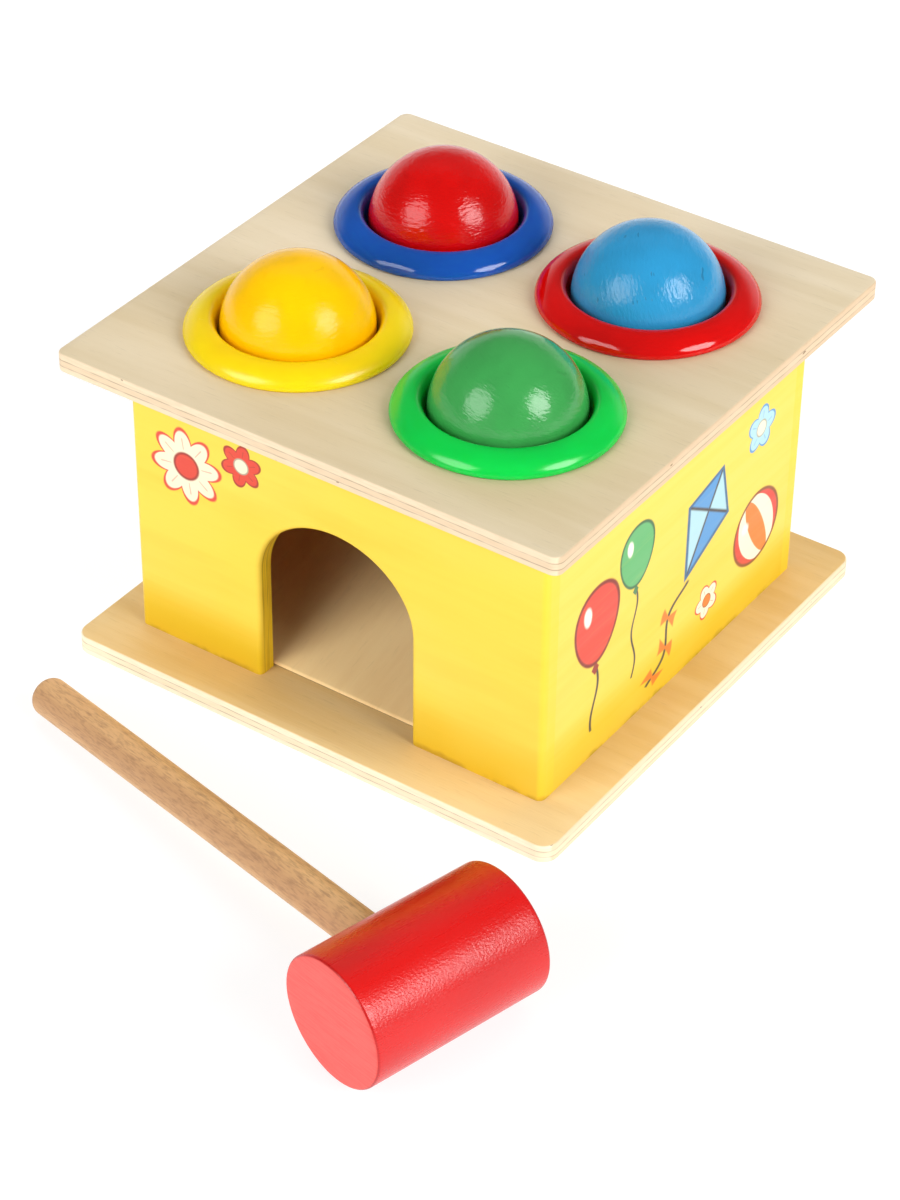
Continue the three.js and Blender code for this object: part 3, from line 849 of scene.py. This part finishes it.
def kite(tree, page, under, centre, turn, size, tones):
    """A kite, |x| + max(y, -0.62 y) < 1, in four panels with spars, and a wavy tail with bows."""
    x, y, _ = apart(tree, laid(tree, page, centre, turn, size))
    rise = calc(tree, "MAXIMUM", y, calc(tree, "MULTIPLY", y, -0.62))
    far = calc(tree, "ADD", calc(tree, "ABSOLUTE", x), rise)
    wave = calc(tree, "MULTIPLY", calc(tree, "SINE", calc(tree, "MULTIPLY", y, 3.4)), 0.2)
    beside = calc(tree, "ABSOLUTE", calc(tree, "SUBTRACT", x, wave))
    tail = both(tree, within(tree, beside, 0.05), ease(tree, y, -3.95, -3.9), ease(tree, y, -1.5, -1.6))
    step = calc(tree, "ABSOLUTE", calc(tree, "PINGPONG", calc(tree, "ADD", y, 3.7), 0.33))
    bow = within(tree, calc(tree, "SUBTRACT", step, calc(tree, "MULTIPLY", beside, 0.55)), 0.03)
    bow = both(tree, bow, within(tree, beside, 0.3), ease(tree, y, -3.95, -3.9), ease(tree, y, -1.98, -2.04))
    colour = over(tree, tail, under, linear(*INK))
    colour = over(tree, bow, colour, linear(*tones[2]))
    quarter = ease(tree, calc(tree, "MULTIPLY", x, y), -0.004, 0.004)
    panel = over(tree, quarter, linear(*tones[0]), linear(*tones[1]))
    colour = over(tree, within(tree, far, 1.0), colour, linear(*darker(tones[0], 0.7)))
    colour = over(tree, within(tree, far, 0.88), colour, panel)
    spar = calc(tree, "MINIMUM", calc(tree, "ABSOLUTE", x), calc(tree, "ABSOLUTE", y))
    return over(tree, both(tree, within(tree, spar, 0.035), within(tree, far, 0.9)), colour, linear(*INK))


def striped_ball(tree, page, under, centre, turn, size, tones):
    """A disc |p| < 1 with stripes between meridians, t = x / sqrt(1 - y^2)."""
    motif = laid(tree, page, centre, turn, (size, size))
    x, y, _ = apart(tree, motif)
    far = measure(tree, "LENGTH", motif, out="Value")
    half = calc(tree, "SQRT", calc(tree, "SUBTRACT", 1.001, calc(tree, "MULTIPLY", y, y)))
    meridian = calc(tree, "ABSOLUTE", calc(tree, "DIVIDE", x, half))
    stripes = over(tree, ease(tree, meridian, 0.27, 0.31), linear(*tones[0]), linear(*tones[1]))
    stripes = over(tree, ease(tree, meridian, 0.70, 0.74), stripes, linear(*tones[2]))
    colour = over(tree, within(tree, far, 1.0), under, linear(*darker(tones[0], 0.6)))
    colour = over(tree, within(tree, far, 0.92), colour, stripes)
    shine = measure(tree, "DISTANCE", motif, (-0.35, 0.42, 0), out="Value")
    return over(tree, within(tree, shine, 0.14, 0.06), colour, linear(*INK_PALE))


def flower(tree, page, under, centre, turn, size, petals, petal, heart, rim):
    """Petals |p| < 0.66 + 0.34 |cos(n a / 2)| round a heart."""
    motif = laid(tree, page, centre, turn, (size, size))
    x, y, _ = apart(tree, motif)
    far = measure(tree, "LENGTH", motif, out="Value")
    angle = calc(tree, "MULTIPLY", calc(tree, "ARCTAN2", y, x), petals / 2)
    lobe = calc(tree, "MULTIPLY_ADD", calc(tree, "ABSOLUTE", calc(tree, "COSINE", angle)), 0.34, 0.66)
    share = calc(tree, "DIVIDE", far, lobe)
    colour = over(tree, within(tree, share, 1.0), under, linear(*rim))
    colour = over(tree, within(tree, share, 0.9), colour, linear(*petal))
    vein = both(tree, within(tree, calc(tree, "ABSOLUTE", calc(tree, "SINE", angle)), 0.1, 0.06),
                within(tree, far, 0.72), ease(tree, far, 0.4, 0.45))
    colour = over(tree, calc(tree, "MULTIPLY", vein, 0.5), colour, linear(*rim))
    colour = over(tree, within(tree, far, 0.36), colour, linear(*darker(heart, 0.7)))
    return over(tree, within(tree, far, 0.3), colour, linear(*heart))


def side_print(tree, where, under):
    """Balloons, a kite, a ball and flowers scattered over the outer face of a side wall."""
    x, y, z = apart(tree, where)
    page = sheet(tree, y, z)
    colour = balloon(tree, page, under, (-23, 65), (9, 11), INK_GREEN, -4.0)
    colour = balloon(tree, page, colour, (-43, 53), (11.5, 14), INK_RED, -2.7)
    colour = kite(tree, page, colour, (16, 58), -32, (14, 14), (INK_BLUE, INK_SKY, INK_ORANGE))
    colour = striped_ball(tree, page, colour, (45, 35), 28, 13, (INK_ORANGE, INK_CREAM, INK_RED))
    colour = flower(tree, page, colour, (44, 71), 10, 8, 5, INK_SKY, INK_CREAM, INK_BLUE)
    colour = flower(tree, page, colour, (18, 24), 40, 6.5, 5, INK_CREAM, INK_ORANGE, INK_RED)
    return over(tree, coat(tree, x, span("right_wall")[1][0], 1), under, colour)


def front_print(tree, where, under):
    """A cream flower with a small red one beside it on the front wall."""
    x, y, z = apart(tree, where)
    page = sheet(tree, x, z)
    colour = flower(tree, page, under, (-32, 79), 20, 7.5, 6, INK_RED, INK_CREAM, darker(INK_RED, 0.75))
    colour = flower(tree, page, colour, (-52, 71), 8, 13, 8, INK_CREAM, INK_RED, INK_RED)
    return over(tree, coat(tree, y, span("front_wall")[0][1], -1), under, colour)


def wall_paint(name, top, motif=None, inner=None):
    """Yellow satin paint over horizontal grain: a deeper band along the foot with a wavy upper edge, smudges
    of grime and painted shade where a wall meets the base, and deeper paint on the rounded ends. A side wall
    has, instead of those ends, an inner face of bare board painted darker and redder as shade inside the box."""
    made, tree = new_finish(name)
    where = spot(tree)
    x, _, z = apart(tree, where)
    beside = calc(tree, "ABSOLUTE", x)
    inner_face, outer_face = (corner[0] for corner in span("right_wall"))
    streak = fibres(tree, where, (9, 9, 260), detail=4.0)
    cloud = fibres(tree, where, (16, 16, 26), detail=2.0)
    fine = fibres(tree, where, (60, 60, 900), detail=2.0)
    foot_shade_noise = fibres(tree, where, (90, 90, 60), detail=3.0)
    wavy = calc(tree, "ADD", calc(tree, "MULTIPLY", cloud, FOOT_WAVES[0] * MM),
                calc(tree, "MULTIPLY", streak, FOOT_WAVES[1] * MM))
    level = ease(tree, calc(tree, "SUBTRACT", z, wavy), FOOT_BAND[0] * MM, FOOT_BAND[1] * MM)
    colour = over(tree, level, linear(*PAINT_FOOT), linear(*top))
    colour = over(tree, ease(tree, streak, 0.45, 0.75, 0.0, 0.16), colour, linear(*PAINT_GRAIN))
    colour = over(tree, ease(tree, cloud, 0.48, 0.75, 0.0, 0.3), colour, linear(*PAINT_PALE))
    colour = over(tree, ease(tree, fine, 0.55, 0.75, 0.0, 0.1), colour, linear(*PAINT_GRAIN))
    bands = fibres(tree, where, (11, 11, 70), detail=3.0, shift=(2.7, 5.2, 0.4))
    colour = over(tree, ease(tree, bands, 0.45, 0.7, 0.0, 0.4), colour, linear(*PAINT_GRAIN))
    if not inner:
        at_end = ease(tree, beside, (outer_face - END_BAND) * MM, (outer_face - COAT_START) * MM, 0.0, 0.6)
        colour = over(tree, at_end, colour, linear(*PAINT_END))
    if motif:
        printed = motif(tree, where, colour)
        colour = over(tree, ease(tree, fine, 0.3, 0.45, 0.95, 1.0), colour, printed)
    # Grime and painted shade: darker smudges where the wall meets the base
    low = calc(tree, "SUBTRACT", z, calc(tree, "MULTIPLY", foot_shade_noise, FOOT_SHADE_WAVE * MM))
    grime_and_shade = both(tree, ease(tree, low, FOOT_SHADE_END * MM, FOOT_SHADE_FULL * MM, 0.0, 0.55),
                ease(tree, foot_shade_noise, 0.42, 0.6))
    colour = over(tree, grime_and_shade, colour, linear(*PAINT_DINGY_AND_SHADE))
    # The inner face: bare board painted darker and redder as shade inside the box
    if inner:
        grain = over(tree, ease(tree, streak, 0.35, 0.7), linear(*inner), linear(*darker(inner, 0.86)))
        colour = over(tree, coat(tree, beside, inner_face, -1), colour, grain)
    rough = ease(tree, streak, 0.3, 0.7, 0.34, 0.46)
    finish_off(tree, colour, rough, streak, depth=0.00006, Specular_IOR_Level=0.45)
    return made


def jamb_paint(name, lo, hi):
    """Thin paint on the doorway's cut edge: the plies show as lines that follow the wall's faces."""
    made, tree = new_finish(name)
    where = spot(tree)
    y = apart(tree, where)[1]
    lines = fibres(tree, where, (40, 1100, 40), detail=3.0)
    patchy = fibres(tree, where, (60, 60, 60), detail=2.0)
    colour = over(tree, ease(tree, lines, 0.35, 0.7, 0.0, 0.45), linear(*PAINT_JAMB), linear(*PAINT_DINGY_AND_SHADE))
    off = calc(tree, "ABSOLUTE", calc(tree, "SUBTRACT", y, 0.5 * (lo[1] + hi[1]) * MM))
    ply = (hi[1] - lo[1]) / 6 * MM  # half the middle ply
    beside = calc(tree, "ABSOLUTE", calc(tree, "SUBTRACT", off, ply))
    glue = ease(tree, beside, JAMB_GLUE[0] * MM, JAMB_GLUE[1] * MM)
    glue = both(tree, glue, ease(tree, patchy, 0.35, 0.6, 0.1, 0.45))
    colour = over(tree, glue, colour, linear(*darker(PAINT_DINGY_AND_SHADE, 0.6)))
    rough = ease(tree, lines, 0.3, 0.7, 0.45, 0.6)
    finish_off(tree, colour, rough, lines, depth=0.00008, Specular_IOR_Level=0.4)
    return made


def ring_plastic(name, colour, matt):
    """Moulded plastic, glossy or a little matt: even, slightly translucent colour with faint flow tone,
    slight orange peel and light scuffs."""
    made, tree = new_finish(name)
    where = spot(tree)
    flow = fibres(tree, where, (30, 30, 90), detail=2.0)
    peel = fibres(tree, where, (300, 300, 300), detail=1.0)
    scuff = fibres(tree, where, (40, 900, 60), detail=3.0, distortion=0.6)
    tint = over(tree, ease(tree, flow, 0.35, 0.7), linear(*colour), linear(*darker(colour, 0.95)))
    rough = calc(tree, "ADD", ease(tree, flow, 0.3, 0.7, matt - 0.02, matt + 0.02),
                 ease(tree, scuff, 0.66, 0.8, 0.0, 0.1))
    finish_off(tree, tint, rough, peel, depth=0.00003, Specular_IOR_Level=0.5, Subsurface_Weight=0.8,
               Subsurface_Radius=(1, 1, 1), Subsurface_Scale=0.005)
    return made


def ball_paint(name, colour, turn, gloss, ripple, pitted, centre):
    """Semi-gloss paint over a turned wooden ball: fine lathe ripples round its axis break up the highlights,
    and here and there a pore shows as a short dark mark."""
    made, tree = new_finish(name)
    place = Matrix.Translation(centre) @ Euler([math.radians(v) for v in turn]).to_matrix().to_4x4()
    where = local(tree, place, spot(tree))
    grain = fibres(tree, where, (90, 520, 520), detail=3.0, roughness=0.6)
    broad = fibres(tree, where, (90, 90, 40), detail=2.0)
    ripples = fibres(tree, where, (420, 420, 1250), detail=2.0)
    tint = over(tree, ease(tree, broad, 0.35, 0.7), linear(*colour), linear(*darker(colour, 0.95)))
    tint = over(tree, ease(tree, grain, 0.6, 0.78, 0.0, 0.1), tint, linear(*darker(colour, 0.85)))
    pits = ease(tree, fibres(tree, where, (240, 240, 820), detail=1.0, shift=(1.3, 4.1, 2.2)), 0.72, 0.75)
    tint = over(tree, calc(tree, "MULTIPLY", pits, pitted), tint, linear(*darker(colour, 0.4)))
    rough = ease(tree, grain, 0.35, 0.7, 0.15, 0.2)
    relief = calc(tree, "MULTIPLY_ADD", ripples, ripple, calc(tree, "MULTIPLY", broad, 0.4))
    relief = calc(tree, "MULTIPLY_ADD", pits, -0.5 * pitted, relief)
    finish_off(tree, tint, rough, relief, depth=0.0002, Specular_IOR_Level=gloss)
    return made


def hammer_paint(name, place):
    """Red satin paint on a turned head; the sawn ends took the paint thinner and show fine saw lines, and
    their paler pink is in part a painted sheen.
    """
    made, tree = new_finish(name)
    where = local(tree, place, spot(tree))
    grain = fibres(tree, where, (60, 520, 520), detail=4.0, roughness=0.6)
    broad = fibres(tree, where, (16, 40, 40), detail=2.0)
    lumps = fibres(tree, where, (1300, 1600, 1600), detail=2.0)
    side = over(tree, ease(tree, broad, 0.35, 0.7), linear(*HEAD_RED), linear(*darker(HEAD_RED, 0.94)))
    side = over(tree, ease(tree, grain, 0.55, 0.78, 0.0, 0.05), side, linear(*darker(HEAD_RED, 0.8)))
    saw = fibres(tree, where, (40, 90, 1500), detail=3.0)
    # The ends' pale pink: thinner paint and in part a painted sheen
    sawn = over(tree, ease(tree, saw, 0.4, 0.68), linear(*HEAD_END_THIN_AND_SHEEN), linear(*HEAD_END_LINES_AND_SHEEN))
    along = calc(tree, "ABSOLUTE", apart(tree, where)[0])

    def fade(depths, most=1.0):
        # Between two depths under the head's end
        return ease(tree, along, *((HEAD_HALF - depth) * MM for depth in depths), 0.0, most)

    at_end = fade(HEAD_END_FADE)
    rim = both(tree, fade(HEAD_RIM_START), fade(HEAD_RIM_END, 0.5))
    colour = over(tree, at_end, side, sawn)
    colour = over(tree, rim, colour, linear(*darker(HEAD_RED, 0.7)))
    rough = calc(tree, "ADD", ease(tree, grain, 0.35, 0.7, 0.27, 0.3), calc(tree, "MULTIPLY", at_end, 0.2))
    relief = calc(tree, "ADD", calc(tree, "MULTIPLY", grain, 0.05), calc(tree, "MULTIPLY", lumps, 0.9))
    finish_off(tree, colour, rough, over(tree, at_end, relief, saw), depth=0.00011, Specular_IOR_Level=0.6)
    return made


def hardwood(name, place):
    """Bare turned hardwood: long grain with short fine flecks along the handle, a painted shade stripe down
    one side with painted light on the other side, and a tone deeper towards the tip."""
    made, tree = new_finish(name)
    where = local(tree, place, spot(tree))
    streak = fibres(tree, where, (320, 14, 320), detail=4.0)
    broad = fibres(tree, where, (90, 12, 90), detail=2.0)
    fleck = fibres(tree, where, (2400, 260, 2400), detail=3.0)
    half = calc(tree, "MULTIPLY", broad, 0.5)
    tone = calc(tree, "MULTIPLY_ADD", ease(tree, streak, 0.3, 0.75), 0.5, half)
    # Painted shade: a darker stripe down one side of the handle, and painted light on the other side
    across = measure(tree, "DOT_PRODUCT", where, SHADE_STRIPE_TOWARD, out="Value")
    stripe = calc(tree, "ABSOLUTE", calc(tree, "ADD", across, SHADE_STRIPE_AT * MM))
    y = apart(tree, where)[1]
    deeper = calc(tree, "ADD", ease(tree, stripe, SHADE_STRIPE_FADE[0] * MM, SHADE_STRIPE_FADE[1] * MM, 0.4, -0.5),
                  ease(tree, y, TIP_FADE[0] * MM, TIP_FADE[1] * MM, 0.2, 0.3))
    colour = over(tree, calc(tree, "ADD", tone, deeper), linear(*HANDLE_LIGHT), linear(*HANDLE_DARK))
    colour = over(tree, ease(tree, fleck, 0.45, 0.7, 0.0, 0.4), colour, linear(*HANDLE_FLECK))
    mottle = fibres(tree, where, (700, 220, 700), detail=2.0, shift=(0.7, 2.3, 1.1))
    colour = over(tree, ease(tree, mottle, 0.5, 0.72, 0.0, 0.35), colour, linear(*HANDLE_FLECK))
    rough = ease(tree, streak, 0.3, 0.7, 0.5, 0.62)
    finish_off(tree, colour, rough, fleck, depth=0.00012, Specular_IOR_Level=0.4)
    return made


def screw_steel(name):
    """Zinc-plated steel with a faint brushed tone."""
    made, tree = new_finish(name)
    brushed = fibres(tree, spot(tree), (900, 900, 120), detail=2.0)
    colour = over(tree, brushed, linear(*STEEL_LIGHT), linear(*STEEL_DARK))
    finish_off(tree, colour, ease(tree, brushed, 0.3, 0.7, 0.25, 0.4), brushed, depth=0.00002, Metallic=1.0)
    return made


# The pieces
top_lo, top_hi = span("top_plate")
base_lo, base_hi = span("base_plate")
top_wood = plywood("top_plywood", top_lo, top_hi, TOP_CORNER, TOP_FACE, TOP_EDGE, TOP_PAINTED_LIGHT)
base_wood = plywood("base_plywood", base_lo, base_hi, BASE_CORNER, BASE_FACE, BASE_EDGE, BASE_PAINTED_LIGHT)
# The ramp's board, with a painted shade line along its foot on the base
board = bare_board("bare_board", BOARD_LIGHT, BOARD_DARK, (160, 14, 60), base_hi[2] + RAMP_SHADE_LINE)
# The walls' inner faces: a darker, redder board as painted shade inside the box
inside = bare_board("inside_shaded_board", INSIDE_SHADE, darker(INSIDE_SHADE, 0.86), (12, 12, 200))
paint = wall_paint("wall_paint", PAINT_TOP)
front_paint = wall_paint("front_paint", PAINT_TOP, motif=front_print)
jamb = jamb_paint("jamb_paint", *span("front_wall"))
right_paint = wall_paint("right_paint", PAINT_SIDE, motif=side_print, inner=INSIDE_SHADE)
left_paint = wall_paint("left_paint", PAINT_SIDE, inner=INSIDE_SHADE)
steel = screw_steel("screw_steel")

ring_nodes = [f"ring_{colour}" for colour in RINGS]
ring_sites = {name: (sum(span(name)) / 2)[:2] for name in ring_nodes}
cell = [s * (RING_OFFSET + k * HOLE_CELL) for s, k in ((-1, 1), (-1, -1), (1, -1), (1, 1))]
piece("plate_top", plate(top_lo, top_hi, TOP_CORNER, cell, cell, list(ring_sites.values()),
                         [(HOLE_R, top_hi[2]), (HOLE_R, top_lo[2])], [(HOLE_R, top_lo[2])]),
      [top_wood], "case", ["top_plate"])

screw_nodes = [f"base_screw_{k}" for k in range(1, 9)]
screw_sites = [(sum(span(name)) / 2)[:2] for name in screw_nodes]
cuts = [sorted({round(float(s + d), 3) for s in places for d in (-SCREW_CELL, SCREW_CELL)})
        for places in np.array(screw_sites).T]
sink_end = SINK_RIM + SCREW_HOLE_R - PILOT_R
recess = [(SCREW_HOLE_R, 0), (SCREW_HOLE_R, SINK_RIM), (PILOT_R, sink_end), (PILOT_R, PILOT_TOP),
          (0, PILOT_TOP)]
piece("plate_base", plate(base_lo, base_hi, BASE_CORNER, *cuts, screw_sites, [(0, base_hi[2])], recess),
      [base_wood], "case", ["base_plate"])

piece("wall_front", doorway_wall(*span("front_wall")), [front_paint, jamb, inside], "case",
      ["front_wall"])
piece("wall_back", plain_wall(*span("back_wall")), [paint, jamb, inside], "case", ["back_wall"])

for colour, (tint, matt) in RINGS.items():
    name = f"ring_{colour}"
    lo, hi = span(name)
    centre = np.array([*ring_sites[name], top_hi[2]])
    shells = ring_shells(centre, (hi[0] - lo[0]) / 2, hi[2] - top_hi[2])
    piece(f"{colour}_ring", shells, [ring_plastic(f"plastic_{colour}", tint, matt)], "case", [name])

for seed, (colour, (tint, turn, gloss, ripple, pitted)) in enumerate(BALLS.items()):
    name = f"ball_{colour}"
    lo, hi = span(name)
    centre = (lo + hi) / 2
    finish = ball_paint(f"paint_{colour}", tint, turn, gloss, ripple, pitted, centre)
    piece(f"{colour}_ball_turned", ball_shells(centre, (hi[2] - lo[2]) / 2, seed), [finish],
          f"{colour}_ball", [name])

place = hammer_place()
piece("head_turned", head_shells(), [hammer_paint("hammer_paint", place)], "hammer",
      ["hammer_head"], place)
piece("handle_turned", handle_shells(), [hardwood("hardwood", place)], "hammer",
      ["hammer_handle"], place)

for name, site in zip(screw_nodes, screw_sites):
    foot = np.array([*site, span(name)[0][2]])
    piece(f"{name}_cross", screw_shells(foot), [steel], "case", [name])

piece("ramp_planed", ramp_shells(*span("ramp_board")), [board], "case", ["ramp_board"])

carried = {"ramp_cleat": board, "deflector_left": board, "deflector_right": board,
           "left_wall": left_paint, "right_wall": right_paint}
for name, finish in carried.items():
    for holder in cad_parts[name].material_slots:
        holder.material = finish

# Stage, in metres
FLOOR = 6.0             # half side
FLOOR_TONES = (0.29, 0.29, 0.29, 1), (0.27, 0.27, 0.27, 1)
FLOOR_ROUGHNESS = 0.8
GLOW_NEAR = 0.6         # distances from the toy between which the floor gets whiter
GLOW_FAR = 2.5
GLOW = (0.8, 1.05)

floor_mesh = bpy.data.meshes.new("floor")
floor_corners = [(x * FLOOR, y * FLOOR, 0) for x, y in ((-1, -1), (1, -1), (1, 1), (-1, 1))]
floor_mesh.from_pydata(floor_corners, [], [(0, 1, 2, 3)])
floor = bpy.data.objects.new("floor", floor_mesh)
floor.location.z = -0.5 * TABLE_GAP * MM
bpy.context.scene.collection.objects.link(floor)
pale, tree = new_finish("pale_floor")
mottle = fibres(tree, spot(tree), (3, 3, 3), detail=2.0)
glow = ease(tree, measure(tree, "LENGTH", spot(tree), out="Value"), GLOW_NEAR, GLOW_FAR, *GLOW)
finish_off(tree, over(tree, mottle, *FLOOR_TONES), FLOOR_ROUGHNESS,
           Emission_Color=(1, 1, 1, 1), Emission_Strength=glow, Specular_IOR_Level=0.0)
floor_mesh.materials.append(pale)

# Camera, in metres and degrees
CAMERA_AT = (0.4692, -0.6931, 0.6375)
CAMERA_AZIMUTH = 34.51
CAMERA_ELEVATION = 37.15
CAMERA_ROLL = 0.65
PHOTO_HEIGHT = 1200
FOCAL_PIXELS = 3449.9
SENSOR = 36             # millimetres
CLIP = (0.02, 50)

camera_data = bpy.data.cameras.new("camera")
camera_data.sensor_width = SENSOR
camera_data.lens = FOCAL_PIXELS * SENSOR / PHOTO_HEIGHT
camera_data.clip_start, camera_data.clip_end = CLIP
camera = bpy.data.objects.new("camera", camera_data)
az, el = math.radians(CAMERA_AZIMUTH), math.radians(CAMERA_ELEVATION)
back = Vector((math.sin(az) * math.cos(el), -math.cos(az) * math.cos(el), math.sin(el)))
facing = (-back).to_track_quat("-Z", "Y").to_matrix().to_4x4()
roll = Matrix.Rotation(math.radians(CAMERA_ROLL), 4, "Z")
camera.matrix_world = Matrix.Translation(CAMERA_AT) @ facing @ roll
bpy.context.scene.collection.objects.link(camera)
bpy.context.scene.camera = camera

# Lights, in metres: what they look at and where each stands from there
AIMED_AT = Vector((0, 0, 0.08))
LEFT = (-0.268, -0.827, 0.511)
RIGHT = (0.864, -0.039, 0.519)
LOW_FRONT = (-0.12, -0.987, 0.105)
LOW_RIGHT = (0.993, -0.045, 0.105)
BACK = (-0.4, 0.75, 0.53)


def softbox(name, toward, distance, width, radiance):
    """A round soft light that looks at the toy from a direction; power = pi * area * radiance."""
    data = bpy.data.lights.new(name, "AREA")
    data.shape = "DISK"
    data.size = width
    data.energy = radiance * math.pi * math.pi / 4 * width ** 2
    obj = bpy.data.objects.new(name, data)
    aim = Vector(toward).normalized()
    obj.location = AIMED_AT + aim * distance
    obj.rotation_mode = "QUATERNION"
    obj.rotation_quaternion = aim.to_track_quat("Z", "Y")
    bpy.context.scene.collection.objects.link(obj)
    return obj


softbox("left_softbox", LEFT, distance=4.4, width=3.0, radiance=4.6)
softbox("right_softbox", RIGHT, distance=4.4, width=2.45, radiance=8.8)
fills = [
    softbox("front_fill", LOW_FRONT, distance=4.5, width=4.5, radiance=1.75),
    softbox("right_fill", LOW_RIGHT, distance=4.5, width=4.5, radiance=1.55),
    softbox("back_fill", BACK, distance=1.7, width=2.7, radiance=1.3),
]
for fill in fills:
    fill.visible_glossy = False

# The backdrop behind the floor looks white, shows in glossy surfaces near the floor and gives little light
BACKDROP_SEEN = 1.1
BACKDROP_LIGHT = 0.14
BACKDROP_SHEEN = 0.8
BACKDROP_FOOT = 0.2     # sines of the elevations between which the sheen fades
BACKDROP_TOP = 0.5
BACKDROP_TOWARD = (-0.57, 0.82, 0)
BACKDROP_SIDE = 0.45    # cosines of the angles from behind between which the sheen fades
BACKDROP_MIDDLE = 0.8

world = bpy.data.worlds.new("studio")
world.use_nodes = True
tree = world.node_tree
sky = tree.nodes["Background"]
sky.inputs["Color"].default_value = (1, 1, 1, 1)
rays = node(tree, "ShaderNodeLightPath").outputs
toward = node(tree, "ShaderNodeTexCoord").outputs["Generated"]
behind = measure(tree, "DOT_PRODUCT", toward, BACKDROP_TOWARD, out="Value")
sheen = both(tree, rays["Is Glossy Ray"],
             ease(tree, apart(tree, toward)[2], BACKDROP_TOP, BACKDROP_FOOT),
             ease(tree, behind, BACKDROP_SIDE, BACKDROP_MIDDLE))
light = node(tree, "ShaderNodeMix", {0: sheen, 2: BACKDROP_LIGHT, 3: BACKDROP_SHEEN}).outputs[0]
shown = node(tree, "ShaderNodeMix", {0: rays["Is Camera Ray"], 2: light, 3: BACKDROP_SEEN}).outputs[0]
tree.links.new(shown, sky.inputs["Strength"])
bpy.context.scene.world = world
bpy.context.scene.view_settings.view_transform = "Standard"
